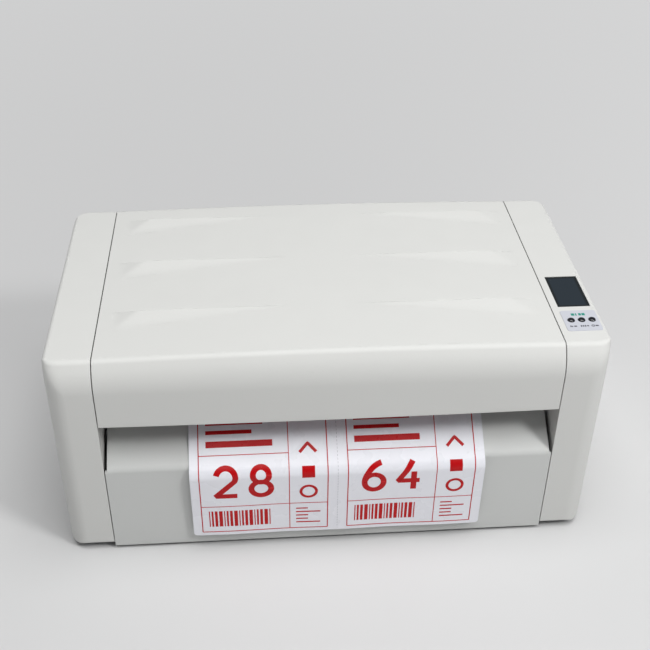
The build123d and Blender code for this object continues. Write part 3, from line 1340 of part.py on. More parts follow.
def main():
    os.makedirs("parts", exist_ok=True)
    for name, shape in pieces().items():
        write(name, shape)


main()
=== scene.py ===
"""Looks of a wide desktop thermal transfer printer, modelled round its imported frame.

Shapes are worked out in millimetres in the part's drawing frame: x to the right, y back from the front
face, z up from the underside of the base pan. They are put into meshes in metres in the model frame.
"""

import math

import bmesh
import bpy
import numpy as np
from mathutils import Matrix, Vector


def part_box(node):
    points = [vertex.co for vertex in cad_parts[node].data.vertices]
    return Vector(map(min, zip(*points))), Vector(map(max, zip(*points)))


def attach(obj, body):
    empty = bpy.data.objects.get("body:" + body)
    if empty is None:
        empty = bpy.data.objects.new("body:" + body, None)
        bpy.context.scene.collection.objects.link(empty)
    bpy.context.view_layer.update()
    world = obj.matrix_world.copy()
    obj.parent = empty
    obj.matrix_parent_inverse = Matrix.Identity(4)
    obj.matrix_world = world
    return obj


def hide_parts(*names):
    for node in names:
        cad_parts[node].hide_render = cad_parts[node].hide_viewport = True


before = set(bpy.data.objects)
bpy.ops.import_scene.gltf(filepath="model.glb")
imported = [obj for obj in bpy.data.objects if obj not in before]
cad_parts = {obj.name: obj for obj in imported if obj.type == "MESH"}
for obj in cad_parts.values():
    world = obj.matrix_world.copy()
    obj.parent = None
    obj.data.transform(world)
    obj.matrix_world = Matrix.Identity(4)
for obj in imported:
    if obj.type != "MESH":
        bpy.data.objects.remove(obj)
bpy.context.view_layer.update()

bl_info = {
    "name": "Thermal transfer printer",
    "version": (1, 0, 0),
    "blender": (4, 5, 0),
    "location": "View3D > Sidebar > Printer",
    "description": "Finishes and fine pieces of a wide desktop thermal transfer printer",
    "category": "Object",
}

MM = 1000.0
FRONT_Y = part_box("left_cheek")[0].y * MM
PAN_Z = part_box("base_pan")[0].z * MM

# Body
BODY_DEPTH = 325.0
BODY_TOP = 249.5
WALL = 3.0
FRONT_ARC_RADIUS = 50.0
FRONT_SLOPE = math.radians(33.0)
FRONT_SLOPE_DEPTH = 13.2
FRONT_CREASE_RADIUS = 8.0
BACK_RADIUS = 8.0
HALF_WIDTH = 292.5
PLAN_RADIUS = 22.0
CORNER_POWER = 1.7
CORNER_REACH = 14.0

# Cuts through the cheeks: fine ones over the softened corner, from or to a place at a step, and single ones
# beside the other edges
CORNER_X, CORNER_Y, CORNER_Z = 269.0, 38.0, 208.0
CUT_STEP_ACROSS, CUT_STEP = 1.6, 1.8
FIRST_CUT_Y, LAST_CUT_MARGIN = 1.5, 0.1
SIDE_CUT_X = 288.2
BACK_CUTS_Y = (BODY_DEPTH - 31.0, BODY_DEPTH - 9.0)
LOW_CUTS_Z = (5.0, 9.0)
TOP_CUT_Z = BODY_TOP - 5.0

# Lid
LID_HALF = 242.0
LIP_Z = 172.0
LIP_DEPTH = 10.0
LIP_ROUND = 1.6
LID_BACK_Z = 224.0
CROWN_START_Z = 212.0
LIP_BOW_TOP_Z = 200.0
RIB_OUTER_X = 223.5
RIB_CREST_X = 200.0
RIB_LENGTH = 26.0
RIB_BACK_SLOPE = 2.2
RIBS = ((94.0, 62.0), (193.5, 65.0), (290.0, 78.0))
LID_BEAM_Y = (85.0, 205.0, 265.0)
LID_BEAM_DEPTH = 5.0
LID_SIDE_DEPTH = 8.0
HINGE_Y, HINGE_Z = 315.0, 238.0
HINGE_EAR_RADIUS = 7.0
HINGE_EAR_X = (232.0, 241.0)
HINGE_BORE = 3.05

# Label stock: places (y, z, radius) that its path touches, as in the part
STOCK_STATIONS = (
    (245.0, 105.0, 72.45),
    (172.0, 164.5, -6.45),
    (75.0, 145.5, 10.45),
    (45.05, 146.9, 1.45),
    (5.65, 99.459, 14.0),
    (-5.35, 15.0, 0.0),
)
STOCK_X = (-152.8, 168.0)
STOCK_HALF_THICKNESS = 0.15
STOCK_CORNER = 4.0
LABEL_WIDTH = 147.0
LABEL_LEFT = (6.0, 167.0)
LABEL_HEIGHT = 232.0
COCKLE_PITCH, COCKLE_SHIFT = 118.0, 20.0
COCKLE_FADE = (30.0, 105.0)
CURL_LENGTH = 45.0

# Printing: spacing of points along and across a stroke, and how far it stands out of what carries it
STROKE_STEP, STROKE_LANE = 1.2, 1.3
INK_TOP, INK_TOP_STEP, INK_SUNK = 0.08, 0.012, 0.06
MARK_TOP, MARK_SUNK = 0.04, 0.05

# Rolls: ends in x, inner radius, outer radius, axis in y and z
MEDIA_ROLL = (-152.8, 168.0, 23.05, 72.0, 245.0, 105.0)
SUPPLY_ROLL = (-152.5, 152.5, 12.75, 30.0, 150.0, 212.0)
TAKEUP_ROLL = (-152.5, 152.5, 12.75, 18.0, 35.0, 212.0)

# Keys and their overlay
KEY_X = (258.1, 269.4, 280.7)
KEY_Y = 53.5
KEY_RADIUS = 3.85
KEY_TOP = 252.0
KEY_DOME = 1.7
KEY_FLANGE_RADIUS = 4.9
KEY_FLANGE_Z = (245.2, 246.2)
OVERLAY_TOP = 250.0
OVERLAY_MIDDLE_X = 269.0

# Stage: lights and floor in metres, the camera's place in drawing millimetres and its angles in degrees
OVERHEAD_PLACE, OVERHEAD_SIZE = (0.2, -0.7, 4.4), 3.2
KEY_PLACE, KEY_SIZE = (1.6, -1.35, 2.05), 0.5
LIGHT_TARGET = (0.0, 0.0, 0.12)
FLOOR_RADIUS, FLOOR_SIDES = 6.0, 96
GLOW_START, GLOW_END = 0.5, 4.5
CAMERA_PLACE = (-76.45, -835.07, 885.30)
CAMERA_HEADING, CAMERA_TILT, CAMERA_ROLL = 4.652, 35.256, 0.677
SENSOR_WIDTH = 36.0
SURROUND_COLOUR, SURROUND_STRENGTH = (0.95, 0.97, 1.0, 1.0), 0.12
BACKDROP_COLOUR = (0.86, 0.86, 0.86, 1.0)


def model(points):
    """Drawing millimetres to model metres: adds the model's shift and divides by a thousand."""
    return (np.asarray(points, float) + (0.0, FRONT_Y, PAN_Z)) / MM


def ease(value, start, end):
    """0 before start, 1 after end, and 3t^2 - 2t^3 of the share t in between."""
    share = np.clip((value - start) / (end - start), 0.0, 1.0)
    return share * share * (3.0 - 2.0 * share)


# Meshes


def quads(rows, columns, first=0, around_rows=False, around_columns=False):
    """Corner numbers of a grid's quads, its points numbered row by row from first."""
    row = np.arange(rows if around_rows else rows - 1)[:, None]
    column = np.arange(columns if around_columns else columns - 1)[None, :]
    below, beside = (row + 1) % rows, (column + 1) % columns
    here, under = row * columns, below * columns
    corners = [here + column, here + beside, under + beside, under + column]
    return np.stack(np.broadcast_arrays(*corners), -1).reshape(-1, 4) + first


def between(upper, lower):
    """Closed solid between two point grids of one size: both skins and the strip round their borders."""
    rows, columns = upper.shape[:2]
    count = rows * columns
    number = np.arange(count).reshape(rows, columns)
    rim = np.concatenate([number[0, :-1], number[:-1, -1], number[-1, :0:-1], number[:0:-1, 0]])
    after = np.roll(rim, -1)
    border = np.stack([after, rim, rim + count, after + count], -1)
    faces = [quads(rows, columns), quads(rows, columns, count)[:, ::-1], border]
    return np.concatenate([upper.reshape(-1, 3), lower.reshape(-1, 3)]), np.concatenate(faces)


def block(x, y, z):
    """Box from three pairs of limits, as a solid between its top and its bottom."""
    grid_x, grid_y = np.meshgrid(x, y, indexing="ij")
    faces = [np.stack([grid_x, grid_y, np.full_like(grid_x, height)], -1) for height in (z[1], z[0])]
    return between(*faces)


def turned(profile, centre, steps=96, axis="x"):
    """A profile of (along, radius) turned about x: (along, cy + r cos t, cz + r sin t), or so about z."""
    along, radius = np.asarray(profile, float).T
    angle = np.linspace(0.0, 2 * math.pi, steps, endpoint=False)[:, None]
    first, second = centre[0] + radius * np.cos(angle), centre[1] + radius * np.sin(angle)
    along = np.broadcast_to(along, first.shape)
    points = np.stack([along, first, second] if axis == "x" else [first, second, along], -1)
    return points.reshape(-1, 3), quads(steps, len(profile), around_rows=True, around_columns=True)


def outward(points, faces):
    """The faces turned so that the solid's signed volume, the sum of a.(b x c) / 6, is positive."""
    a, b, c, d = (points[faces[:, corner]] for corner in range(4))
    volume = np.einsum("ij,ij->", a, np.cross(b, c)) + np.einsum("ij,ij->", a, np.cross(c, d))
    return faces if volume > 0 else faces[:, ::-1]


def show(name, mesh, finish, body, replaces, sharp):
    """A mesh as a smooth object in one finish, riding on a body and standing for the nodes it replaces."""
    mesh.polygons.foreach_set("use_smooth", np.ones(len(mesh.polygons), bool))
    mesh.set_sharp_from_angle(angle=math.radians(sharp))
    mesh.materials.clear()
    mesh.materials.append(finish)
    made = bpy.data.objects.new(name, mesh)
    bpy.context.scene.collection.objects.link(made)
    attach(made, body)
    if replaces:
        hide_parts(*replaces)
    return made


def piece(name, solids, finish, body, replaces=(), bevel=0.0, sharp=35.0):
    """One mesh object from closed solids of quads, riding on a body of the frame."""
    firsts = np.cumsum([0] + [len(points) for points, faces in solids[:-1]])
    points = np.concatenate([model(points) for points, faces in solids])
    faces = np.concatenate([outward(*solid) + first for solid, first in zip(solids, firsts)])
    mesh = bpy.data.meshes.new(name)
    mesh.vertices.add(len(points))
    mesh.vertices.foreach_set("co", points.ravel())
    mesh.loops.add(faces.size)
    mesh.loops.foreach_set("vertex_index", faces.ravel().astype(np.int32))
    mesh.polygons.add(len(faces))
    mesh.polygons.foreach_set("loop_start", np.arange(0, faces.size, 4, dtype=np.int32))
    mesh.update(calc_edges=True)
    work = bmesh.new()
    work.from_mesh(mesh)
    bmesh.ops.remove_doubles(work, verts=work.verts, dist=1e-7)
    work.to_mesh(mesh)
    work.free()
    made = show(name, mesh, finish, body, replaces, sharp)
    if bevel:
        rounding = made.modifiers.new("edges", "BEVEL")
        rounding.width = bevel / MM
        rounding.segments = 2
        rounding.limit_method = "ANGLE"
        rounding.angle_limit = math.radians(50.0)
        rounding.harden_normals = False
    return made


def rounded_line(corners, radii, shares, arc=11):
    """Points of a line through corners, each rounded by an arc of its radius.

    Runs are cut at the given shares of their length, so two lines with the same shares match point for
    point. An arc's points are its centre plus sin((1-t)A)/sin A of its first arm and sin(tA)/sin A of its
    last.
    """
    corners = [np.array(corner, float) for corner in corners]
    points, start = [], corners[0]
    for before, corner, after, radius, share in zip(corners, corners[1:], corners[2:], radii, shares):
        back = (before - corner) / np.linalg.norm(before - corner)
        ahead = (after - corner) / np.linalg.norm(after - corner)
        half = math.acos(back @ ahead) / 2
        bisector = (back + ahead) / np.linalg.norm(back + ahead)
        first = corner + back * radius / math.tan(half)
        last = corner + ahead * radius / math.tan(half)
        centre = corner + bisector * radius / math.sin(half)
        turn, step = math.pi - 2 * half, np.linspace(0.0, 1.0, arc)[:, None]
        arms = np.sin((1 - step) * turn) * (first - centre) + np.sin(step * turn) * (last - centre)
        points.append(start + (first - start) * np.asarray(share)[:, None])
        points.append(centre + arms / math.sin(turn))
        start = last
    points.append(start + (corners[-1] - start) * np.asarray(shares[-1])[:, None])
    return np.concatenate(points)


# Finishes


class Finish:
    """A material: a principled shader whose colour, gloss and relief follow patterns on the object."""

    def __init__(self, name, colour, roughness, metallic=0.0, sockets=None):
        self.material = bpy.data.materials.new(name)
        self.material.use_nodes = True
        self.tree = self.material.node_tree
        self.shader = self.tree.nodes["Principled BSDF"]
        self.base = (*colour, 1.0)
        values = {"Base Color": self.base, "Roughness": roughness, "Metallic": metallic, **(sockets or {})}
        for socket, value in values.items():
            self.shader.inputs[socket].default_value = value
        self.place = self.node("TexCoord").outputs["Object"]
        self.normal = None

    def node(self, kind, inputs=None, **settings):
        """Adds a node, with its settings and with each input a number or another node's output."""
        made = self.tree.nodes.new("ShaderNode" + kind)
        for name, value in settings.items():
            setattr(made, name, value)
        for name, value in (inputs or {}).items():
            if isinstance(value, bpy.types.NodeSocket):
                self.tree.links.new(value, made.inputs[name])
            else:
                made.inputs[name].default_value = value
        return made

    def mapped(self, size, centre=(0.0, 0.0, 0.0), turn=(0.0, 0.0, 0.0)):
        """Object coordinates about a centre in metres, in units of the pattern's size in millimetres."""
        sizes = np.broadcast_to(np.asarray(size, float), 3) / MM
        inputs = {"Vector": self.place, "Location": centre, "Rotation": turn, "Scale": tuple(sizes)}
        return self.node("Mapping", inputs, vector_type="TEXTURE").outputs["Vector"]

    def noise(self, size, detail=2.0, roughness=0.5, distortion=0.0):
        """Soft random clouds of a size in millimetres, from 0 to 1 and mostly near the middle."""
        inputs = {"Vector": self.mapped(size), "Scale": 1.0, "Detail": detail, "Roughness": roughness}
        return self.node("TexNoise", {**inputs, "Distortion": distortion}).outputs["Fac"]

    def cells(self, size, output="Distance", feature="F1"):
        """Random cells of a size in millimetres: the distance from their points, or a colour for each."""
        inputs = {"Vector": self.mapped(size), "Scale": 1.0}
        return self.node("TexVoronoi", inputs, feature=feature).outputs[output]

    def combine(self, operation, first, second=0.0):
        """The result of an operation on two values, or on the first alone."""
        return self.node("Math", {0: first, 1: second}, operation=operation).outputs["Value"]

    def span(self, value, start, end, low=0.0, high=1.0):
        """The value's range from start to end, laid over low to high."""
        inputs = {"Value": value, "From Min": start, "From Max": end, "To Min": low, "To Max": high}
        return self.node("MapRange", inputs).outputs["Result"]

    def radius(self, centre, axes=(0.0, 1.0, 1.0)):
        """Distance in metres from the axis through a centre."""
        arm = self.node("VectorMath", {0: self.mapped(MM, centre), 1: axes}, operation="MULTIPLY")
        return self.node("VectorMath", {0: arm.outputs["Vector"]}, operation="LENGTH").outputs["Value"]

    def inside(self, value, low, high, edge):
        """1 where the value lies between low and high, with an edge of the given width, and 0 outside."""
        rise, fall = self.span(value, low - edge, low), self.span(value, high + edge, high)
        return self.combine("MULTIPLY", rise, fall)

    def split(self):
        """Object coordinates as x, y and z in metres."""
        return self.node("SeparateXYZ", {"Vector": self.place}).outputs

    def stripes(self, value, pitch, sharpness=1.0):
        """A wave of the value in metres with a pitch in millimetres, from 0 to 1."""
        wave = self.combine("SINE", self.combine("MULTIPLY", value, 2 * math.pi * MM / pitch))
        return self.span(wave, -1.0 / sharpness, 1.0 / sharpness)

    def tint(self, factor, colour, most=1.0):
        """Mixes a colour over the base colour by a pattern, to at most the given share."""
        share = self.combine("MULTIPLY", factor, most) if most != 1.0 else factor
        mix = self.node("Mix", {"Factor": share}, data_type="RGBA")
        first, second = mix.inputs[6], mix.inputs[7]
        if isinstance(self.base, bpy.types.NodeSocket):
            self.tree.links.new(self.base, first)
        else:
            first.default_value = self.base
        second.default_value = (*colour, 1.0)
        self.base = mix.outputs[2]
        self.tree.links.new(self.base, self.shader.inputs["Base Color"])
        return self

    def gloss(self, factor, low, high):
        """Roughness that follows a pattern, low at its 0.3 and high at its 0.7."""
        self.tree.links.new(self.span(factor, 0.3, 0.7, low, high), self.shader.inputs["Roughness"])
        return self

    def relief(self, height, depth, strength=1.0):
        """Bump of a depth in millimetres, laid over the relief so far."""
        inputs = {"Height": height, "Distance": depth / MM, "Strength": strength}
        if self.normal:
            inputs["Normal"] = self.normal
        self.normal = self.node("Bump", inputs).outputs["Normal"]
        self.tree.links.new(self.normal, self.shader.inputs["Normal"])
        return self


def shade(colour, amount):
    """A colour made lighter or darker by a factor."""
    return tuple(min(1.0, channel * amount) for channel in colour)


def moulded(name, colour, roughness=0.52, grain=0.9, depth=0.012, mottle=0.03):
    """Moulded housing plastic: fine spark-eroded grain, soft sink marks and slightly uneven colour."""
    made = Finish(name, colour, roughness, sockets={"Specular IOR Level": 0.36})
    made.tint(made.noise(95.0, 3.0), shade(colour, 1.0 - mottle))
    made.tint(made.span(made.noise(grain * 2.2, 2.0), 0.55, 0.8), shade(colour, 0.93), 0.35)
    made.gloss(made.noise(26.0, 4.0), roughness - 0.05, roughness + 0.06)
    made.relief(made.noise(60.0, 1.0), 0.25, 0.25)
    made.relief(made.noise(grain, 2.0, 0.6), depth, 0.8)
    return made.material


def zinc_sheet(name, colour=(0.62, 0.64, 0.66)):
    """Zinc-plated sheet: spangle cells of slightly different tone and gloss, with fine rolling lines."""
    made = Finish(name, colour, 0.34, 1.0)
    cell = made.cells((9.0, 7.0, 9.0), "Color")
    tone = made.node("SeparateColor", {"Color": cell}).outputs["Red"]
    made.tint(tone, shade(colour, 0.86))
    made.tint(made.span(made.noise(40.0, 4.0), 0.5, 0.75), (0.52, 0.50, 0.45), 0.25)
    made.gloss(tone, 0.26, 0.42)
    made.relief(made.noise((60.0, 0.5, 0.5), 2.0), 0.01, 0.5)
    return made.material


def painted_sheet(name, colour):
    """Powder-coated sheet: orange-peel relief and small dark pinholes."""
    made = Finish(name, colour, 0.5, sockets={"Specular IOR Level": 0.4})
    made.tint(made.noise(70.0, 3.0), shade(colour, 0.95))
    made.tint(made.span(made.cells(3.2), 0.08, 0.02), shade(colour, 0.7), 0.5)
    made.gloss(made.noise(12.0, 3.0), 0.44, 0.56)
    made.relief(made.noise(1.6, 2.0), 0.03, 0.6)
    return made.material


def ground_steel(name, colour=(0.60, 0.61, 0.62), lines=(0.35, 40.0, 40.0), roughness=0.24):
    """Turned or ground steel: fine lines across the long axis, a film of oil stains and small nicks."""
    made = Finish(name, colour, roughness, 1.0)
    made.tint(made.span(made.noise(14.0, 4.0), 0.5, 0.8), shade(colour, 0.72), 0.5)
    made.gloss(made.noise(5.0, 3.0), roughness - 0.06, roughness + 0.12)
    made.relief(made.noise(lines, 2.0), 0.012, 0.6)
    made.relief(made.span(made.cells(6.0), 0.05, 0.0), 0.02, 0.4)
    return made.material


def extruded_aluminium(name):
    """Extruded aluminium: die lines along the fins and a clouded anodised skin."""
    colour = (0.70, 0.71, 0.73)
    made = Finish(name, colour, 0.33, 1.0)
    made.tint(made.noise(30.0, 3.0), shade(colour, 0.85))
    made.gloss(made.noise((80.0, 2.0, 2.0), 3.0), 0.27, 0.42)
    made.relief(made.noise((200.0, 0.6, 0.6), 2.0), 0.02, 0.7)
    return made.material


def ground_rubber(name, colour, pitch=0.8):
    """Ground black rubber: fine rings from the wheel, dusty paper lint and a dull sheen."""
    made = Finish(name, colour, 0.72, sockets={"Specular IOR Level": 0.35})
    made.tint(made.span(made.noise(3.0, 5.0), 0.52, 0.8), (0.16, 0.16, 0.16), 0.5)
    made.gloss(made.noise(9.0, 3.0), 0.62, 0.8)
    made.relief(made.noise((pitch, 25.0, 25.0), 2.0), 0.05, 0.7)
    made.relief(made.noise(0.5, 2.0), 0.03, 0.6)
    return made.material


def natural_nylon(name, colour=(0.80, 0.78, 0.70)):
    """Natural engineering plastic: milky, with flow clouds from the gate and a fine satin skin."""
    made = Finish(name, colour, 0.42, sockets={"Subsurface Weight": 0.15, "Subsurface Scale": 0.002})
    made.tint(made.noise(22.0, 4.0, 0.6, 1.5), shade(colour, 0.88))
    made.gloss(made.noise(8.0, 3.0), 0.36, 0.5)
    made.relief(made.noise(1.1, 2.0), 0.02, 0.5)
    return made.material


def glossy_black(name, colour=(0.012, 0.013, 0.018)):
    """Polished black plastic with faint dust and wipe marks."""
    made = Finish(name, colour, 0.12, sockets={"Coat Weight": 0.5, "Coat Roughness": 0.06})
    made.tint(made.span(made.noise(0.9, 4.0), 0.6, 0.85), (0.10, 0.10, 0.11), 0.4)
    made.gloss(made.noise((6.0, 2.0, 6.0), 4.0), 0.08, 0.2)
    made.relief(made.noise(4.0, 2.0), 0.01, 0.3)
    return made.material


def display_glass(name):
    """Dark display behind a glossy window: the active area is a bluer field inside a black border."""
    made = Finish(name, (0.012, 0.016, 0.018), 0.14, sockets={"Coat Weight": 0.6, "Coat Roughness": 0.05})
    low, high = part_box("display_window")
    x, y = made.split()[:2]
    border, edge = 0.0032, 1e-4
    columns = made.inside(x, low.x + border, high.x - border - edge, edge)
    rows = made.inside(y, low.y + border, high.y - border - edge, edge)
    field = made.combine("MULTIPLY", columns, rows)
    made.tint(field, (0.018, 0.027, 0.036))
    made.tint(made.combine("MULTIPLY", field, made.stripes(x, 0.5)), (0.026, 0.036, 0.046), 0.5)
    made.tint(made.span(made.noise(1.2, 4.0), 0.62, 0.9), (0.09, 0.09, 0.10), 0.3)
    made.gloss(made.noise((14.0, 4.0, 4.0), 4.0), 0.10, 0.2)
    made.relief(made.noise(18.0, 1.0), 0.02, 0.2)
    return made.material


def printed_film(name, colour=(0.60, 0.615, 0.67)):
    """Polyester overlay film: velvet texture with faint screen-print banding."""
    made = Finish(name, colour, 0.38, sockets={"Specular IOR Level": 0.5})
    made.tint(made.noise(14.0, 3.0), shade(colour, 0.94))
    made.tint(made.stripes(made.split()[1], 0.9), shade(colour, 1.04), 0.4)
    made.gloss(made.noise(3.0, 3.0), 0.32, 0.46)
    made.relief(made.noise(0.35, 2.0), 0.01, 0.6)
    return made.material


def solder_mask(name):
    """Circuit board: green mask over raised tracks, with tinned pads."""
    colour = (0.012, 0.13, 0.055)
    made = Finish(name, colour, 0.3, sockets={"Coat Weight": 0.3, "Coat Roughness": 0.15})
    x = made.split()[0]
    sway = made.span(made.noise(18.0, 0.0), 0.35, 0.65, 0.0, 0.012)
    lanes = made.stripes(made.combine("ADD", x, sway), 2.4, 2.5)
    blocks = made.span(made.cells(16.0, "Distance", "F2"), 0.45, 0.6)
    tracks = made.combine("MULTIPLY", lanes, blocks)
    made.tint(tracks, (0.03, 0.22, 0.09))
    made.tint(made.span(made.cells(5.0), 0.14, 0.10), (0.55, 0.55, 0.52), 0.9)
    made.relief(tracks, 0.035, 0.8)
    made.gloss(made.noise(9.0, 3.0), 0.22, 0.38)
    return made.material


def label_stock(name, colour=(0.90, 0.905, 0.96)):
    """Coated label stock: bright, slightly blue, with a calendered sheen and faint fibre clouds."""
    sockets = {"Specular IOR Level": 0.55, "Coat Weight": 0.25, "Coat Roughness": 0.22}
    made = Finish(name, colour, 0.3, sockets=sockets)
    made.tint(made.noise(6.0, 5.0, 0.6), shade(colour, 0.965))
    made.tint(made.span(made.noise(60.0, 2.0), 0.5, 0.8), shade(colour, 0.97), 0.6)
    made.gloss(made.noise(30.0, 3.0), 0.24, 0.36)
    made.relief(made.noise(40.0, 1.0), 0.35, 0.22)
    made.relief(made.noise(0.6, 3.0), 0.004, 0.5)
    return made.material


def wound_edge(name, colour, centre, pitch, edge, roughness=0.55, metallic=0.0, sockets=None):
    """A wound roll: rings of alternating tone on its ends at the pitch of the layers, plain on its skin."""
    made = Finish(name, colour, roughness, metallic, sockets)
    radius = made.radius(centre)
    wander = made.span(made.noise(30.0, 2.0), 0.3, 0.7, 0.0, 0.0006)
    rings = made.stripes(made.combine("ADD", radius, wander), pitch)
    facing = made.node("SeparateXYZ", {"Vector": made.node("NewGeometry").outputs["Normal"]}).outputs["X"]
    end = made.span(made.combine("ABSOLUTE", facing), 0.6, 0.8)
    made.tint(made.combine("MULTIPLY", rings, end), edge, 0.55)
    wide = made.stripes(made.combine("ADD", radius, wander), pitch * 7.3)
    made.tint(made.combine("MULTIPLY", wide, end), edge, 0.25)
    made.tint(made.span(made.noise(12.0, 5.0), 0.5, 0.8), shade(colour, 0.9), 0.5)
    made.gloss(made.noise(18.0, 3.0), roughness - 0.07, roughness + 0.08)
    made.relief(made.noise(30.0, 2.0), 0.1, 0.3)
    return made.material


def wound_card(name, colour=(0.42, 0.31, 0.20)):
    """Spiral-wound card tube: slanting butt joints of the plies, fibres and scuffs."""
    made = Finish(name, colour, 0.82, sockets={"Specular IOR Level": 0.25})
    x, y, z = made.split()
    slant = made.combine("ADD", made.combine("ADD", x, y), z)
    made.tint(made.span(made.stripes(slant, 38.0), 0.0, 0.08, 1.0, 0.0), shade(colour, 0.55), 0.8)
    made.tint(made.noise((9.0, 1.2, 1.2), 5.0, 0.65), shade(colour, 1.25), 0.7)
    made.gloss(made.noise(5.0, 3.0), 0.75, 0.9)
    made.relief(made.noise((4.0, 0.6, 0.6), 4.0, 0.7), 0.05, 0.7)
    return made.material


def transfer_film(name, colour=(0.36, 0.012, 0.03)):
    """Ink-coated transfer film: deep red gloss with a drawn sheen and faint creases along the travel."""
    made = Finish(name, colour, 0.2, sockets={"Coat Weight": 0.5, "Coat Roughness": 0.1})
    made.tint(made.noise((14.0, 60.0, 60.0), 3.0), shade(colour, 0.75))
    made.gloss(made.noise((5.0, 40.0, 40.0), 3.0), 0.14, 0.3)
    made.relief(made.noise((7.0, 90.0, 90.0), 2.0), 0.12, 0.35)
    return made.material


def sintered_bronze(name):
    """Sintered bronze: porous, oily and uneven in tone."""
    colour = (0.50, 0.33, 0.14)
    made = Finish(name, colour, 0.42, 1.0)
    made.tint(made.span(made.cells(0.7), 0.25, 0.05), shade(colour, 0.35), 0.8)
    made.tint(made.noise(5.0, 3.0), shade(colour, 0.8))
    made.gloss(made.noise(3.0, 3.0), 0.34, 0.5)
    made.relief(made.cells(0.7), 0.03, 0.6)
    return made.material


def glazed_ceramic(name):
    """Print head: ivory substrate with a glossy heater line and a brown driver band."""
    colour = (0.70, 0.66, 0.56)
    made = Finish(name, colour, 0.25, sockets={"Coat Weight": 0.4, "Coat Roughness": 0.08})
    low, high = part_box("printhead")
    x, y = made.split()[:2]
    middle = (low.y + high.y) / 2
    band = made.span(made.combine("ABSOLUTE", made.combine("SUBTRACT", y, middle - 0.009)), 0.0026, 0.0022)
    made.tint(band, (0.05, 0.03, 0.02))
    pads = made.combine("MULTIPLY", made.stripes(x, 1.2, 3.0), made.span(y, middle, middle + 0.0005))
    made.tint(pads, (0.62, 0.50, 0.20), 0.6)
    made.tint(made.noise(12.0, 3.0), shade(colour, 0.9), 0.5)
    made.gloss(made.noise(7.0, 3.0), 0.18, 0.32)
    made.relief(made.noise(2.0, 2.0), 0.01, 0.4)
    return made.material


def cable_jacket(name):
    """Soft black cable insulation: fine extrusion lines, dust and a satin skin."""
    made = Finish(name, (0.018, 0.018, 0.02), 0.5)
    made.tint(made.span(made.noise(2.0, 5.0), 0.55, 0.85), (0.10, 0.10, 0.10), 0.6)
    made.gloss(made.noise(6.0, 3.0), 0.42, 0.6)
    made.relief(made.noise(0.8, 2.0), 0.03, 0.5)
    return made.material


def laminated_motor(name):
    """Stepping motor: cast end caps, and between them the black edges of the stacked steel sheets."""
    cast = (0.42, 0.43, 0.44)
    made = Finish(name, cast, 0.5, 0.9)
    low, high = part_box("feed_motor")
    x = made.split()[0]
    cap, flange, edge = 0.009, 0.004, 0.0005
    stack = made.inside(x, low.x + cap + flange + edge, high.x - cap - edge, edge)
    made.tint(stack, (0.02, 0.02, 0.022))
    made.tint(made.combine("MULTIPLY", stack, made.stripes(x, 1.0)), (0.10, 0.10, 0.10), 0.7)
    made.gloss(made.noise(6.0, 3.0), 0.42, 0.6)
    made.relief(made.noise(1.2, 3.0), 0.05, 0.5)
    return made.material


def printing_ink(name, colour):
    """Transferred ink: slightly glossy, with small voids where the film didn't take."""
    made = Finish(name, colour, 0.32, sockets={"Specular IOR Level": 0.2})
    made.tint(made.span(made.noise(1.6, 4.0), 0.72, 0.9), (0.74, 0.45, 0.48), 0.4)
    made.tint(made.noise(20.0, 3.0), shade(colour, 0.86))
    made.gloss(made.noise(5.0, 3.0), 0.26, 0.4)
    return made.material


# The lid


def crown(x, height):
    """Rise of the lid's top at x: a circle through both side edges, height above them at the middle."""
    radius = (LID_HALF**2 + height**2) / (2 * height)
    return height - radius + np.sqrt(radius**2 - np.minimum(np.abs(x), LID_HALF) ** 2)


def rib_rise(x, y, height, softness):
    """Height of the wedge ribs: the soft least of their three facets and the soft most of that and nothing.

    The front facet climbs from the tail to the crest and falls towards the front tip, the outer facet falls
    from the crest to the outer edge, and the back facet is short and steep. Soft least and most are
    -k log sum e^(-h/k) and k log(1 + e^(h/k)).
    """
    across, total = np.abs(x), 0.0
    for back_y, inner_x in RIBS:
        climb = height / (RIB_CREST_X - inner_x)
        front = climb * (across - inner_x) - climb * (RIB_OUTER_X - inner_x) * (back_y - y) / RIB_LENGTH
        outer = height * (RIB_OUTER_X - across) / (RIB_OUTER_X - RIB_CREST_X)
        back = height * (back_y + RIB_BACK_SLOPE - y) / RIB_BACK_SLOPE
        least = -softness * np.logaddexp.reduce([-front / softness, -outer / softness, -back / softness])
        total = total + softness * np.logaddexp(least / softness, 0.0)
    return total


def lid_columns():
    """Places across the lid: every 4.4 mm, and every 1.6 mm where the ribs turn down."""
    turn = np.arange(RIB_CREST_X - 8.0, RIB_OUTER_X + 4.0, 1.6)
    return np.unique(np.concatenate([np.linspace(-LID_HALF, LID_HALF, 111), turn, -turn]))


def lid_rows():
    """Shares along the lid's top run: every 4 mm, and every 0.7 mm over each rib's back facet."""
    crease_turn = math.pi / 2 - FRONT_SLOPE
    start = FRONT_SLOPE_DEPTH + FRONT_CREASE_RADIUS * math.tan(crease_turn / 2)
    end = BODY_DEPTH - BACK_RADIUS
    fine = [np.arange(back_y - 3.5, back_y + 5.0, 0.7) for back_y, _ in RIBS]
    places = np.unique(np.concatenate([np.arange(start, end, 4.0), *fine]))
    return (places - start) / (end - start)


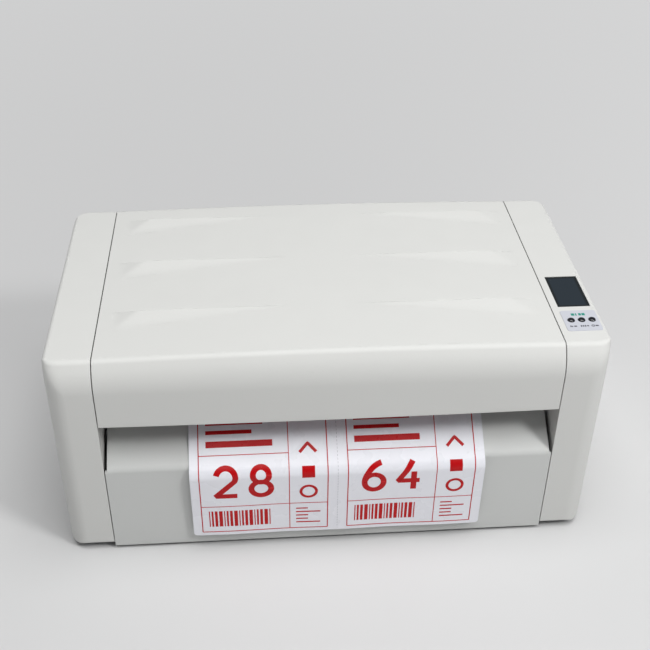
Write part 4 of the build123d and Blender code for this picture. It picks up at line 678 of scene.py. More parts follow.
def lid_skin(inset, settings):
    """A skin of the lid: its side line, drawn in by inset, carried across, crowned and bowed at the lip."""
    even = np.linspace(0.0, 1.0, 11)
    shares = (even[::5], even, (0.5,), lid_rows(), even)
    base, top, back = LIP_Z + inset, BODY_TOP - inset, BODY_DEPTH - inset
    under_arc = BODY_TOP - FRONT_SLOPE_DEPTH / math.tan(FRONT_SLOPE) - inset * math.tan(FRONT_SLOPE / 2)
    crease = FRONT_SLOPE_DEPTH + inset * math.tan((math.pi / 2 - FRONT_SLOPE) / 2)
    lip = ((LIP_DEPTH, base), (inset, base))
    corners = (*lip, (inset, under_arc), (crease, top), (back, top), (back, LID_BACK_Z))
    rounds = (FRONT_ARC_RADIUS, FRONT_CREASE_RADIUS, BACK_RADIUS)
    radii = (max(LIP_ROUND - inset, 0.4), *(radius - inset for radius in rounds))
    line = rounded_line(corners, radii, shares)
    x, y = np.meshgrid(lid_columns(), line[:, 0], indexing="ij")
    z = np.broadcast_to(line[:, 1], x.shape)
    lift = crown(x, settings.crown * MM) * ease(z, CROWN_START_Z, BODY_TOP - WALL)
    bow = settings.lip_bow * MM * (1 - (x / LID_HALF) ** 2) * (1 - ease(z, LIP_Z + WALL, LIP_BOW_TOP_Z))
    z = z + lift - bow
    if inset == 0.0:
        z = z + rib_rise(x, y, settings.rib_height * MM, settings.rib_softness * MM) * (z > BODY_TOP - 1.0)
    return np.stack([x, y, z], -1)


def lid_beam(y, height):
    """A stiffening beam under the top, which follows the crown."""
    x, depth = np.meshgrid(np.linspace(-LID_HALF, LID_HALF, 45), (y, y + WALL), indexing="ij")
    top = BODY_TOP - WALL / 2 + crown(x, height)
    return between(np.stack([x, depth, top], -1), np.stack([x, depth, top - LID_BEAM_DEPTH], -1))


def hinge_ear(side):
    """Ear round the hinge pin: its outline is the circle, or the straight neck where it reaches further."""
    angle = np.linspace(0.0, 2 * math.pi, 72, endpoint=False)
    along_y, along_z = np.cos(angle), np.sin(angle)
    neck_z = (BODY_TOP - WALL / 2 - HINGE_Z) / np.maximum(along_z, 1e-6)
    neck_y = HINGE_EAR_RADIUS / np.maximum(np.abs(along_y), 1e-6)
    reach = np.where(along_z > 0, np.minimum(neck_z, neck_y), HINGE_EAR_RADIUS)
    radius = np.stack([np.full_like(reach, HINGE_BORE), reach, reach, np.full_like(reach, HINGE_BORE)], -1)
    x = np.broadcast_to([side * HINGE_EAR_X[end] for end in (0, 0, 1, 1)], radius.shape)
    points = np.stack([x, HINGE_Y + radius * along_y[:, None], HINGE_Z + radius * along_z[:, None]], -1)
    return points.reshape(-1, 3), quads(72, 4, around_rows=True, around_columns=True)


def lid_solids(settings):
    """The lid as closed solids: shell between its two skins, three beams, two side strips and two ears."""
    solids = [between(lid_skin(0.0, settings), lid_skin(WALL, settings))]
    solids += [lid_beam(y, settings.crown * MM) for y in LID_BEAM_Y]
    for side in (-1, 1):
        x = sorted((side * (LID_HALF - WALL), side * (LID_HALF - 0.2)))
        z = (BODY_TOP - WALL - LID_SIDE_DEPTH, BODY_TOP - WALL / 2)
        solids.append(block(x, (FRONT_SLOPE_DEPTH, HINGE_Y - HINGE_EAR_RADIUS), z))
        solids.append(hinge_ear(side))
    return solids


# The cheeks


def plan_depth(x):
    """Depth of the plan outline behind the front plane at x: none up to the corner's arc, then the arc."""
    inside = np.clip(np.abs(x) - (HALF_WIDTH - PLAN_RADIUS), 0.0, PLAN_RADIUS)
    return PLAN_RADIUS - np.sqrt(PLAN_RADIUS**2 - inside**2)


def side_depth(z):
    """Depth of the side outline behind the front plane at z: none, then arc, slope and crease."""
    under_arc = BODY_TOP - FRONT_SLOPE_DEPTH / math.tan(FRONT_SLOPE)
    corners = ((0.0, LIP_Z), (0.0, under_arc), (FRONT_SLOPE_DEPTH, BODY_TOP), (2 * PLAN_RADIUS, BODY_TOP))
    line = rounded_line(corners, (FRONT_ARC_RADIUS, FRONT_CREASE_RADIUS), ((0.0,), (0.5,), (0.0,)))
    return np.interp(z, line[:, 1], line[:, 0])


def soften_corner(points):
    """Points moved back where the plan's and the side's outlines meet: from max(u, v) to (u^p + v^p)^(1/p).

    u and v are the two outlines' depths, and the move fades over a short reach behind the surface. Points
    within 0.2 mm of the surface are put on it, which takes out the facets of arcs that were cut finer.
    """
    x, y, z = points.T
    plan, side = plan_depth(x), side_depth(z)
    sharp = np.maximum(plan, side)
    soft = (plan**CORNER_POWER + side**CORNER_POWER) ** (1 / CORNER_POWER)
    gap = np.where(np.abs(y - sharp) < 0.2, 0.0, y - sharp)
    fade = np.clip(1 - gap / CORNER_REACH, 0.0, 1.0)
    return np.stack([x, sharp + gap + (soft - sharp) * fade, z], -1)


def cheek_cover(node, side, finish):
    """A cheek with its top front corner softened: the CAD cheek cut finely there, and its points moved."""
    fine_x = np.arange(CORNER_X, HALF_WIDTH - LAST_CUT_MARGIN, CUT_STEP_ACROSS)
    fine_y = np.arange(FIRST_CUT_Y, CORNER_Y, CUT_STEP)
    fine_z = np.arange(CORNER_Z, BODY_TOP - LAST_CUT_MARGIN, CUT_STEP)
    across = side * np.array([*fine_x, SIDE_CUT_X])
    depth, height = [*fine_y, *BACK_CUTS_Y], [*LOW_CUTS_Z, *fine_z, TOP_CUT_Z]
    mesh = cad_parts[node].data.copy()
    work = bmesh.new()
    work.from_mesh(mesh)
    bmesh.ops.remove_doubles(work, verts=work.verts, dist=1e-6)
    for axis, places in enumerate((across, depth, height)):
        normal = [float(index == axis) for index in range(3)]
        for place in places:
            level = model(np.array(normal) * place)
            whole = work.verts[:] + work.edges[:] + work.faces[:]
            bmesh.ops.bisect_plane(work, geom=whole, dist=1e-7, plane_co=level, plane_no=normal)
    bmesh.ops.triangulate(work, faces=work.faces[:])
    work.to_mesh(mesh)
    work.free()
    points = np.empty(len(mesh.vertices) * 3)
    mesh.vertices.foreach_get("co", points)
    moved = model(soften_corner(points.reshape(-1, 3) * MM - (0.0, FRONT_Y, PAN_Z)))
    mesh.vertices.foreach_set("co", moved.ravel())
    cover = show(node + "_cover", mesh, finish, "chassis", (node,), 30.0)
    cover.modifiers.new("flat_faces", "WEIGHTED_NORMAL").keep_sharp = True


# The label stock


def stock_path():
    """Centre line of the label stock: length from its free end, y, z and heading.

    Between two stations the heading is the direction of their centres less asin of the radii's difference
    over their distance, and at a station the line turns round it at a steady rate.
    """
    angles, places, headings = [], [], []
    for (y0, z0, r0), (y1, z1, r1) in zip(STOCK_STATIONS, STOCK_STATIONS[1:]):
        angles.append(math.atan2(z1 - z0, y1 - y0) - math.asin((r1 - r0) / math.hypot(y1 - y0, z1 - z0)))
    for index, angle in enumerate(angles):
        ends = []
        for y, z, radius in STOCK_STATIONS[index : index + 2]:
            ends.append(np.array([y + radius * math.sin(angle), z - radius * math.cos(angle)]))
        steps = max(2, int(np.linalg.norm(ends[1] - ends[0]) / 2.5))
        share = np.linspace(0.0, 1.0, steps)[:, None]
        places.append(ends[0] + (ends[1] - ends[0]) * share)
        headings.append(np.full(steps, angle))
        if index + 1 < len(angles):
            turn = (angles[index + 1] - angle + math.pi) % (2 * math.pi) - math.pi
            steps = max(3, int(abs(turn) / math.radians(4.0)))
            sweep = angle + turn * np.linspace(0.0, 1.0, steps + 1)[1:-1]
            y, z, radius = STOCK_STATIONS[index + 1]
            places.append(np.stack([y + radius * np.sin(sweep), z - radius * np.cos(sweep)], -1))
            headings.append(sweep)
    place, heading = np.concatenate(places)[::-1], np.unwrap(np.concatenate(headings))[::-1]
    length = np.concatenate([[0.0], np.cumsum(np.linalg.norm(np.diff(place, axis=0), axis=1))])
    return length, place[:, 0], place[:, 1], heading


def on_stock(x, length, lift, settings, path):
    """Point of the stock at x and a length from its free end, lifted off its printed side.

    The free end cockles: a sine across it that fades over the hanging length, and a curl that grows with
    the square of what is left to the end.
    """
    along, path_y, path_z, path_heading = path
    heading = np.interp(length, along, path_heading)
    hanging = 1 - ease(length, *COCKLE_FADE)
    cockle = settings.cockle * MM * np.sin(2 * math.pi * (x + COCKLE_SHIFT) / COCKLE_PITCH) * hanging
    curl = settings.curl * MM * (1 - np.clip(length / CURL_LENGTH, 0.0, 1.0)) ** 2
    out = lift + cockle + curl
    y = np.interp(length, along, path_y) + out * np.sin(heading)
    z = np.interp(length, along, path_z) - out * np.cos(heading)
    return np.stack([x, y, z], -1)


def stock_sheet(settings, path):
    """The stock from roll to free end, with rounded corners: the end stands back by R - sqrt(R^2 - d^2)."""
    edge = np.array([0.0, 0.15, 0.5, 1.1, 2.0, 3.0, STOCK_CORNER])
    middle = np.linspace(STOCK_X[0] + 8.0, STOCK_X[1] - 8.0, 58)
    across = np.concatenate([STOCK_X[0] + edge, middle, STOCK_X[1] - edge[::-1]])
    inside = np.minimum(across - STOCK_X[0], STOCK_X[1] - across)
    dip = np.maximum(STOCK_CORNER - inside, 0.0)
    start = STOCK_CORNER - np.sqrt(STOCK_CORNER**2 - dip**2)
    total = path[0][-1]
    base = np.unique(np.concatenate([np.arange(0.0, 12.0, 1.0), path[0][path[0] > 12.0]]))
    length = start[:, None] + base[None, :] / total * (total - start[:, None])
    x = np.broadcast_to(across[:, None], length.shape)
    half = STOCK_HALF_THICKNESS
    return between(*(on_stock(x, length, lift, settings, path) for lift in (half, -half)))


def stroke(route, width, closed=False):
    """A flat stroke: points at even steps along the route, moved sideways by shares of the width."""
    route = np.asarray(route, float)
    if closed:
        route = np.concatenate([route, route[:1]])
    gaps = np.linalg.norm(np.diff(route, axis=0), axis=1)
    along = np.concatenate([[0.0], np.cumsum(gaps)])
    count = max(2, int(along[-1] / STROKE_STEP) + 1)
    places = np.unique(np.concatenate([np.linspace(0.0, along[-1], count), along]))
    line = np.stack([np.interp(places, along, route[:, axis]) for axis in (0, 1)], -1)
    step = np.gradient(line, axis=0)
    if closed:
        step[[0, -1]] = line[1] - line[-2]
    side = np.stack([-step[:, 1], step[:, 0]], -1) / np.linalg.norm(step, axis=1)[:, None]
    share = np.linspace(-0.5, 0.5, max(2, int(width / STROKE_LANE) + 1))
    return line[None] + side[None] * share[:, None, None] * width


def bow(x, y, half_x, half_y, start, end, steps=26):
    """Points of an ellipse's arc, its angles in degrees."""
    angle = np.radians(np.linspace(start, end, steps))
    return np.stack([x + half_x * np.cos(angle), y + half_y * np.sin(angle)], -1)


def numeral(digit, left, base, width, height, weight):
    """Strokes of a plain numeral, drawn in a box of one by one and scaled to its size."""
    open_lines = {
        2: [np.concatenate([bow(0.5, 0.71, 0.42, 0.29, 165, -32), [(0.04, 0.0), (0.97, 0.0)]])],
        4: [[(0.66, 1.0), (0.04, 0.31), (0.98, 0.31)], [(0.72, 0.66), (0.72, -0.04)]],
        6: [bow(1.02, 0.31, 0.94, 0.69, 180, 103)],
        8: [],
    }
    loops = {
        2: [],
        4: [],
        6: [bow(0.5, 0.30, 0.42, 0.30, 0, 347)],
        8: [bow(0.5, 0.75, 0.35, 0.25, 0, 347), bow(0.5, 0.25, 0.43, 0.27, 0, 347)],
    }
    scale, corner = np.array([width, height]), np.array([left, base])
    strokes = [stroke(np.asarray(line) * scale + corner, weight) for line in open_lines[digit]]
    return strokes + [stroke(loop * scale + corner, weight, closed=True) for loop in loops[digit]]


def label_strokes(digits):
    """One printed label, drawn from its lower left corner: frame, rules, two numerals, bars and marks."""
    frame_line, rule = 1.1, 0.9
    left, right, foot, head = 4.0, LABEL_WIDTH - 4.0, 5.0, LABEL_HEIGHT
    column, shelf, upper = 101.0, 44.0, 112.0
    strokes = [
        stroke([(left, foot), (right, foot)], frame_line),
        stroke([(left, foot), (left, head)], frame_line),
        stroke([(right, foot), (right, head)], frame_line),
        stroke([(column, foot), (column, head)], rule),
        stroke([(left, shelf), (right, shelf)], rule),
        stroke([(left, upper), (column, upper)], rule),
    ]
    for index, digit in enumerate(digits):
        strokes += numeral(digit, 20.0 + 38.0 * index, 60.0, 25.0, 38.0, 6.4)
    return strokes + code_bars(12.0, 13.0, 37.0) + side_marks(column, right) + heading_bars(12.0)


def code_bars(left, foot, head):
    """Seventeen upright bars whose widths and gaps step through a few sizes, with no meaning."""
    thin, wider, gap = 1.2, 0.9, 1.6
    bars, place = [], left
    for index in range(17):
        width = thin + wider * (index * 5 % 4)
        bars.append(stroke([(place + width / 2, foot), (place + width / 2, head)], width))
        place += width + gap + wider * (index * 3 % 3)
    return bars


def side_marks(column, right):
    """The narrow column's marks from its foot up: five lines of uneven length, a ring, a square, a roof."""
    foot, pitch, reach = 14.0, 5.4, 24.0
    marks = []
    for index in range(5):
        end, height = column + 10.0 + reach * (0.62 + 0.38 * math.cos(index * 2.1)), foot + pitch * index
        marks.append(stroke([(column + 7.0, height), (end, height)], 1.7))
    middle = (column + right) / 2
    ring, square, roof = 62.0, (83.0, 97.0), (112.0, 122.0)
    marks.append(stroke(bow(middle, ring, 8.5, 8.5, 0, 347), 3.2, closed=True))
    marks.append(stroke([(middle, square[0]), (middle, square[1])], 14.0))
    marks.append(stroke([(middle - 9.0, roof[0]), (middle, roof[1]), (middle + 9.0, roof[0])], 3.4))
    return marks


def heading_bars(left):
    """Three solid bars at the label's upper part: each at its height, to its end and of its weight."""
    bars = ((124.0, 84.0, 7.0), (137.0, 62.0, 4.2), (147.0, 74.0, 4.2))
    return [stroke([(left, height), (end, height)], weight) for height, end, weight in bars]


def ink_solids(strokes, left, settings, path):
    """Strokes laid on the stock as thin solids, slightly sunk, with tops at three close heights."""
    solids = []
    for index, flat in enumerate(strokes):
        x, length = STOCK_X[0] + left + flat[..., 0], flat[..., 1]
        lifts = (INK_TOP + INK_TOP_STEP * (index % 3), -INK_SUNK)
        skins = [on_stock(x, length, STOCK_HALF_THICKNESS + lift, settings, path) for lift in lifts]
        solids.append(between(*skins))
    return solids


def perforation(settings, path):
    """Short slits down the middle of the gap between the two labels."""
    middle = (LABEL_LEFT[0] + LABEL_WIDTH + LABEL_LEFT[1]) / 2
    foot, head, pitch, width = 6.0, 8.4, 4.0, 0.35
    steps = [pitch * index for index in range(40)]
    slits = [stroke([(middle, foot + step), (middle, head + step)], width) for step in steps]
    return ink_solids(slits, 0.0, settings, path)


# Rolls, keys and marks


def wound_roll(roll, layers, ragged):
    """A wound roll: a ring whose ends step in and out by ragged times the sine of the layer's square."""
    x0, x1, inner, outer, y, z = roll
    radius = np.linspace(inner, outer, layers)
    uneven = ragged * 0.5 * (1 + np.sin(np.arange(layers) ** 2 * 1.7))
    uneven[[0, -1]] = 0.0
    right = np.stack([x1 - uneven, radius], -1)
    left = np.stack([x0 + uneven[::-1], radius[::-1]], -1)
    return turned(np.concatenate([right, left]), (y, z), 128)


def key_cap(x):
    """A key turned about its axis: flange, stem and a dome that follows a quarter ellipse."""
    angle = np.linspace(0.0, math.pi / 2, 9)
    dome_r = KEY_RADIUS * np.cos(angle) ** 0.75
    dome_z = KEY_TOP - KEY_DOME + KEY_DOME * np.sin(angle)
    foot, ledge = KEY_FLANGE_Z
    stem = [(foot, 0.0), (foot, KEY_FLANGE_RADIUS), (ledge, KEY_FLANGE_RADIUS), (ledge, KEY_RADIUS)]
    return turned(np.concatenate([stem, np.stack([dome_z, dome_r], -1)]), (x, KEY_Y), 64, "z")


def flat_marks(strokes):
    """Strokes laid flat on the overlay as thin solids, a little sunk."""
    solids = []
    for flat in strokes:
        level, heights = np.ones((*flat.shape[:2], 1)), (OVERLAY_TOP + MARK_TOP, OVERLAY_TOP - MARK_SUNK)
        skins = [np.concatenate([flat, level * height], -1) for height in heights]
        solids.append(between(*skins))
    return solids


def overlay_strokes():
    """Plain marks under the keys, a triangle, three bars and a ring, each by a dash, and blocks above."""
    low, head = KEY_Y - 11.0, KEY_Y + 10.4
    first, second, third = KEY_X
    triangle = [(first - 3.4, low - 1.2), (first - 0.9, low), (first - 3.4, low + 1.2)]
    marks = [stroke(triangle, 0.8, closed=True)]
    marks += [stroke([(second + x, low - 1.5), (second + x, low + 1.5)], 1.2) for x in (-3.2, -1.0, 1.2)]
    marks.append(stroke(bow(third - 1.8, low, 1.4, 1.4, 0, 347), 0.9, closed=True))
    for middle, reach in ((first + 1.9, 1.5), (second + 3.9, 1.0), (third + 2.4, 1.6)):
        marks.append(stroke([(middle - reach, low), (middle + reach, low)], 1.9))
    middle, spans = OVERLAY_MIDDLE_X, ((-8.4, -4.9), (-3.9, -2.4), (-0.4, 2.4), (3.2, 6.6))
    blocks = [stroke([(middle + start, head), (middle + end, head)], 4.2) for start, end in spans]
    return marks, blocks


def dress(finish, *nodes):
    """Gives CAD nodes a finish in place of the one they came with."""
    for name in nodes:
        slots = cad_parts[name].data.materials
        slots.clear()
        slots.append(finish)


# Settings


def length_setting(name, description, value, most=1.0):
    """A length in metres that the sidebar shows."""
    return bpy.props.FloatProperty(name=name, description=description, default=value, min=0.0, max=most,
                                   precision=5, subtype="DISTANCE", unit="LENGTH")


def power_setting(name, description, value):
    """A light's power in watts that the sidebar shows."""
    return bpy.props.FloatProperty(name=name, description=description, default=value, min=0.0, unit="POWER")


def colour_setting(name, description, value):
    """A colour that the sidebar shows."""
    return bpy.props.FloatVectorProperty(name=name, description=description, default=value, size=3,
                                         min=0.0, max=1.0, subtype="COLOR")


class HousingSettings(bpy.types.PropertyGroup):
    plastic: colour_setting("Plastic", "Colour of the lid and the cheeks", (0.71, 0.712, 0.69))
    panel: colour_setting("Panel", "Colour of the front panel with the tray", (0.66, 0.67, 0.655))
    edge: length_setting("Edge rounding", "Rounding of the lid's cut edges", 0.0007)


class LidSettings(bpy.types.PropertyGroup):
    crown: length_setting("Crown", "Rise of the lid's top at its middle", 0.003)
    lip_bow: length_setting("Lip bow", "Sag of the lid's front lip at its middle", 0.0015)
    rib_height: length_setting("Rib height", "Height of a wedge rib at its crest", 0.0039)
    rib_softness: length_setting("Rib softness", "Rounding between a rib's facets", 0.00028)


class StockSettings(bpy.types.PropertyGroup):
    ink: colour_setting("Ink", "Colour of the printing", (0.56, 0.004, 0.007))
    cockle: length_setting("Cockle", "Wave across the free end of the stock", 0.0004)
    curl: length_setting("Curl", "Outward curl of the stock's free end", 0.0009)


class StageSettings(bpy.types.PropertyGroup):
    lens: bpy.props.FloatProperty(name="Lens", description="Focal length", default=57.99, unit="CAMERA")
    overhead: power_setting("Overhead", "Power of the overhead light", 160.0)
    key: power_setting("Key", "Power of the light from the right in front", 26.0)
    floor: colour_setting("Floor", "Colour of the floor", (0.66, 0.66, 0.66))
    glow: bpy.props.FloatProperty(name="Glow", description="Light from the far floor", default=0.6, min=0.0)


class PRINTER_OT_housing(bpy.types.Operator):
    """Finish the cheeks, the front panel, the pan, the plates and the feet"""

    bl_idname = "printer.housing"
    bl_label = "Housing"
    bl_options = {"REGISTER", "UNDO"}

    def execute(self, context):
        settings = context.scene.printer_housing
        plastic = moulded("housing_plastic", settings.plastic)
        cheek_cover("left_cheek", -1, plastic)
        cheek_cover("right_cheek", 1, plastic)
        dress(moulded("panel_plastic", settings.panel), "front_panel")
        dress(zinc_sheet("zinc_sheet"), "base_pan", "cross_beams")
        painted = painted_sheet("painted_sheet", (0.62, 0.62, 0.60))
        dress(painted, "left_side_plate", "right_side_plate", "back_panel")
        dress(ground_rubber("foot_rubber", (0.025, 0.025, 0.025), 2.0), "rubber_feet", "lid_rests")
        dress(ground_steel("screw_steel", (0.55, 0.55, 0.56), 0.6, 0.3), "fasteners", "hinge_pins")
        return {"FINISHED"}


class PRINTER_OT_lid(bpy.types.Operator):
    """Build the crowned lid with its soft wedge ribs, beams and hinge ears"""

    bl_idname = "printer.lid"
    bl_label = "Lid"
    bl_options = {"REGISTER", "UNDO"}

    def execute(self, context):
        scene = context.scene
        housing = scene.printer_housing
        plastic = moulded("lid_plastic", housing.plastic)
        solids = lid_solids(scene.printer_lid)
        piece("lid_cover", solids, plastic, "lid", ("lid",), housing.edge * MM)
        dress(natural_nylon("washer_nylon"), "friction_washers")
        return {"FINISHED"}


class PRINTER_OT_controls(bpy.types.Operator):
    """Finish the display and its overlay, and build the domed keys and the marks beside them"""

    bl_idname = "printer.controls"
    bl_label = "Display and keys"
    bl_options = {"REGISTER", "UNDO"}

    def execute(self, context):
        dress(display_glass("display_glass"), "display_window")
        dress(printed_film("overlay_film"), "key_overlay")
        dress(moulded("module_plastic", (0.03, 0.03, 0.03), 0.6), "display_module")
        dress(solder_mask("key_board_mask"), "key_board")
        black = glossy_black("key_black")
        for name, x in zip(("left_key", "middle_key", "right_key"), KEY_X):
            piece(name + "_cap", [key_cap(x)], black, name, (name,), sharp=50.0)
        marks, blocks = overlay_strokes()
        dark = printing_ink("legend_ink", (0.06, 0.06, 0.08))
        piece("overlay_marks", flat_marks(marks), dark, "chassis")
        green = printing_ink("overlay_green", (0.03, 0.30, 0.24))
        piece("overlay_blocks", flat_marks(blocks), green, "chassis")
        return {"FINISHED"}


class PRINTER_OT_stock(bpy.types.Operator):
    """Build the label stock with its printing, and the rolls of stock and ribbon"""

    bl_idname = "printer.stock"
    bl_label = "Label stock and ribbon"
    bl_options = {"REGISTER", "UNDO"}

    def execute(self, context):
        settings, path = context.scene.printer_stock, stock_path()
        paper = label_stock("label_stock")
        piece("label_sheet", [stock_sheet(settings, path)], paper, "chassis", ("label_web",))
        ink = printing_ink("red_ink", settings.ink)
        for name, left, digits in (("left", LABEL_LEFT[0], (2, 8)), ("right", LABEL_LEFT[1], (6, 4))):
            solids = ink_solids(label_strokes(digits), left, settings, path)
            piece(name + "_label_ink", solids, ink, "chassis")
        slit = printing_ink("slit_grey", (0.42, 0.43, 0.46))
        piece("perforation", perforation(settings, path), slit, "chassis")
        centre = model((0.0, MEDIA_ROLL[4], MEDIA_ROLL[5]))
        stock_edge = wound_edge("stock_edge", (0.78, 0.79, 0.82), centre, 1.3, (0.55, 0.56, 0.60), 0.4)
        roll = [wound_roll(MEDIA_ROLL, 46, 0.25)]
        piece("media_roll_wound", roll, stock_edge, "media", ("media_roll",), sharp=60.0)
        film, film_edge, coat = (0.30, 0.012, 0.03), (0.10, 0.004, 0.01), {"Coat Weight": 0.4}
        for name, roll, layers in (("supply", SUPPLY_ROLL, 22), ("takeup", TAKEUP_ROLL, 9)):
            centre = model((0.0, roll[4], roll[5]))
            finish = wound_edge(name + "_film_edge", film, centre, 0.9, film_edge, 0.24, sockets=coat)
            wound = [wound_roll(roll, layers, 0.2)]
            piece(name + "_roll_wound", wound, finish, name, (name + "_roll",), sharp=60.0)
        dress(transfer_film("transfer_film"), "ribbon_film")
        dress(wound_card("wound_card"), "media_core", "supply_core", "takeup_core")
        return {"FINISHED"}


class PRINTER_OT_drive(bpy.types.Operator):
    """Finish the platen, the gears, the motor, the spindles, the guides and the shafts"""

    bl_idname = "printer.drive"
    bl_label = "Drive"
    bl_options = {"REGISTER", "UNDO"}

    def execute(self, context):
        steel = ground_steel("ground_steel")
        dress(ground_rubber("platen_rubber", (0.02, 0.02, 0.022)), "platen_roller")
        dress(steel, "platen_shaft", "platen_bearings", "motor_pinion")
        dress(steel, "fixed_shafts", "guide_roller", "media_spindle")
        dress(natural_nylon("gear_nylon"), "platen_gear", "idler_gear", "takeup_gear")
        guide = natural_nylon("guide_nylon", (0.74, 0.76, 0.78))
        dress(guide, "left_media_guide", "right_media_guide", "roll_cradles")
        dress(moulded("spindle_plastic", (0.035, 0.036, 0.04), 0.5), "takeup_spindle", "supply_spindle")
        dress(laminated_motor("laminated_motor"), "feed_motor")
        dress(sintered_bronze("sintered_bronze"), "shaft_bushes")
        dress(ground_steel("tear_steel", (0.64, 0.65, 0.66), (30.0, 30.0, 0.4), 0.2), "tear_bar")
        return {"FINISHED"}


class PRINTER_OT_print_head(bpy.types.Operator):
    """Finish the print head, its frame, springs, rods, cam shaft and release lever"""

    bl_idname = "printer.print_head"
    bl_label = "Print head"
    bl_options = {"REGISTER", "UNDO"}

    def execute(self, context):
        dress(zinc_sheet("head_zinc", (0.58, 0.60, 0.62)), "head_frame")
        dress(extruded_aluminium("extruded_aluminium"), "heat_sink")
        dress(glazed_ceramic("glazed_ceramic"), "printhead")
        dress(ground_steel("spring_steel", (0.50, 0.51, 0.53), 0.7, 0.28), "head_suspension")
        dress(ground_steel("rod_steel"), "guide_rods", "cam_shaft")
        dress(moulded("lever_plastic", (0.02, 0.26, 0.11), 0.4), "head_lever")
        return {"FINISHED"}


class PRINTER_OT_electrics(bpy.types.Operator):
    """Finish the supply, the board, the sockets, the switch and the leads"""

    bl_idname = "printer.electrics"
    bl_label = "Electrics"
    bl_options = {"REGISTER", "UNDO"}

    def execute(self, context):
        dress(zinc_sheet("supply_case", (0.56, 0.58, 0.60)), "power_supply")
        dress(solder_mask("board_mask"), "control_board")
        dress(moulded("socket_plastic", (0.03, 0.03, 0.032), 0.5), "board_components", "rear_sockets")
        dress(glossy_black("rocker_black"), "power_rocker")
        dress(cable_jacket("cable_jacket"), "wiring")
        return {"FINISHED"}


class PRINTER_OT_stage(bpy.types.Operator):
    """Set the pale floor, the soft lights and the camera"""

    bl_idname = "printer.stage"
    bl_label = "Stage"
    bl_options = {"REGISTER", "UNDO"}

    def execute(self, context):
        scene = context.scene
        settings = scene.printer_stage
        lay_floor(settings)
        world = bpy.data.worlds.new("studio")
        world.use_nodes = True
        scene.world = world
        light_world(world.node_tree)
        aim_light("overhead", OVERHEAD_PLACE, settings.overhead, OVERHEAD_SIZE)
        aim_light("key", KEY_PLACE, settings.key, KEY_SIZE)
        place_camera(scene, settings.lens)
        return {"FINISHED"}


STEPS = (
    PRINTER_OT_housing,
    PRINTER_OT_lid,
    PRINTER_OT_controls,
    PRINTER_OT_stock,
    PRINTER_OT_drive,
    PRINTER_OT_print_head,
    PRINTER_OT_electrics,
    PRINTER_OT_stage,
)
GROUPS = {
    "printer_housing": HousingSettings,
    "printer_lid": LidSettings,
    "printer_stock": StockSettings,
    "printer_stage": StageSettings,
}


class PRINTER_PT_pieces(bpy.types.Panel):
    """The printer's pieces and their settings"""

    bl_idname = "PRINTER_PT_pieces"
    bl_label = "Thermal transfer printer"
    bl_space_type = "VIEW_3D"
    bl_region_type = "UI"
    bl_category = "Printer"

    def draw(self, context):
        for name, group in GROUPS.items():
            box = self.layout.box()
            for setting in group.__annotations__:
                box.prop(getattr(context.scene, name), setting)
        for step in STEPS:
            self.layout.operator(step.bl_idname)


# Stage


def lay_floor(settings):
    """A level disc under the feet, faintly clouded, that glows towards the surround's tone far out."""
    angle = np.linspace(0.0, 2 * math.pi, FLOOR_SIDES, endpoint=False)
    rim = FLOOR_RADIUS * np.stack([np.cos(angle), np.sin(angle), np.zeros(FLOOR_SIDES)], -1)
    mesh = bpy.data.meshes.new("floor")
    mesh.from_pydata(rim.tolist(), [], [list(range(FLOOR_SIDES))])
    sockets = {"Specular IOR Level": 0.1, "Emission Color": (1.0, 1.0, 1.0, 1.0)}
    made = Finish("floor_paper", settings.floor, 0.9, sockets=sockets)
    made.tint(made.noise(900.0, 2.0), shade(settings.floor, 0.985))
    away = made.radius((0.0, 0.0, 0.0), (1.0, 1.0, 0.0))
    glow = made.span(away, GLOW_START, GLOW_END, 0.0, settings.glow)
    made.tree.links.new(glow, made.shader.inputs["Emission Strength"])
    mesh.materials.append(made.material)
    floor = bpy.data.objects.new("floor", mesh)
    bpy.context.scene.collection.objects.link(floor)


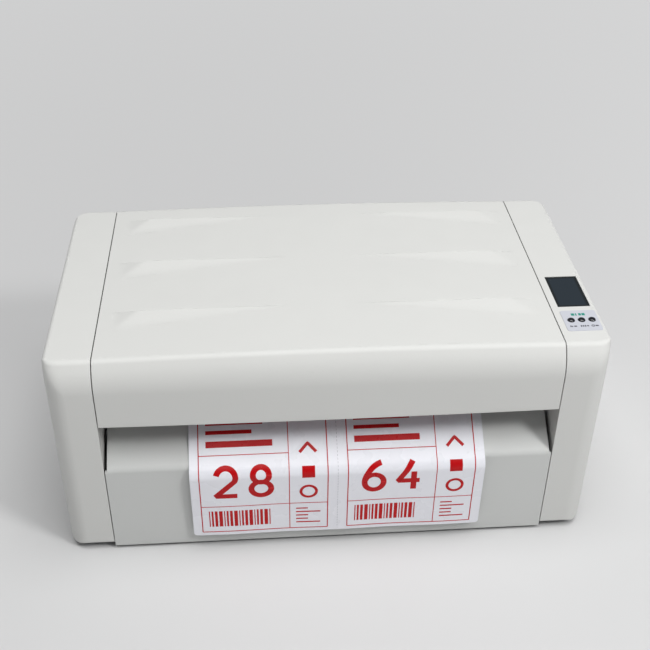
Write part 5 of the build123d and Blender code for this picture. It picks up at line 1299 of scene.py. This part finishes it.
def light_world(tree):
    """An even dim surround, which shows pale behind the floor."""
    surround = tree.nodes["Background"]
    surround.inputs["Color"].default_value = SURROUND_COLOUR
    surround.inputs["Strength"].default_value = SURROUND_STRENGTH
    seen = tree.nodes.new("ShaderNodeBackground")
    seen.inputs["Color"].default_value = BACKDROP_COLOUR
    path = tree.nodes.new("ShaderNodeLightPath")
    mix = tree.nodes.new("ShaderNodeMixShader")
    tree.links.new(path.outputs["Is Camera Ray"], mix.inputs[0])
    tree.links.new(surround.outputs[0], mix.inputs[1])
    tree.links.new(seen.outputs[0], mix.inputs[2])
    tree.links.new(mix.outputs[0], tree.nodes["World Output"].inputs["Surface"])


def aim_light(name, place, energy, size):
    """A square soft light at a place, aimed at the middle of the body."""
    lamp = bpy.data.lights.new(name, "AREA")
    lamp.energy, lamp.size = energy, size
    holder = bpy.data.objects.new(name, lamp)
    holder.location = place
    holder.rotation_euler = (Vector(LIGHT_TARGET) - Vector(place)).to_track_quat("-Z", "Y").to_euler()
    bpy.context.scene.collection.objects.link(holder)


def place_camera(scene, lens):
    """The photograph's viewpoint: a place, a heading, a tilt down and a slight roll."""
    place = Vector(model(CAMERA_PLACE))
    yaw, pitch, roll = (math.radians(angle) for angle in (CAMERA_HEADING, CAMERA_TILT, CAMERA_ROLL))
    ahead = Vector((math.sin(yaw) * math.cos(pitch), math.cos(yaw) * math.cos(pitch), -math.sin(pitch)))
    right = Vector((math.cos(yaw), -math.sin(yaw), 0.0))
    up = right.cross(ahead)
    across = right * math.cos(roll) + up * math.sin(roll)
    above = up * math.cos(roll) - right * math.sin(roll)
    camera = bpy.data.objects.new("camera", bpy.data.cameras.new("camera"))
    camera.data.lens = lens
    camera.data.sensor_width = SENSOR_WIDTH
    camera.matrix_world = Matrix.Translation(place) @ Matrix((across, above, -ahead)).transposed().to_4x4()
    scene.collection.objects.link(camera)
    scene.camera = camera


def register():
    for group in GROUPS.values():
        bpy.utils.register_class(group)
    for step in (*STEPS, PRINTER_PT_pieces):
        bpy.utils.register_class(step)
    for name, group in GROUPS.items():
        setattr(bpy.types.Scene, name, bpy.props.PointerProperty(type=group))


def unregister():
    for name in GROUPS:
        delattr(bpy.types.Scene, name)
    for step in (PRINTER_PT_pieces, *STEPS[::-1]):
        bpy.utils.unregister_class(step)
    for group in GROUPS.values():
        bpy.utils.unregister_class(group)


def main():
    register()
    bpy.context.scene.view_settings.view_transform = "Standard"
    for step in STEPS:
        family, name = step.bl_idname.split(".")
        getattr(getattr(bpy.ops, family), name)()


if __name__ == "__main__":
    main()
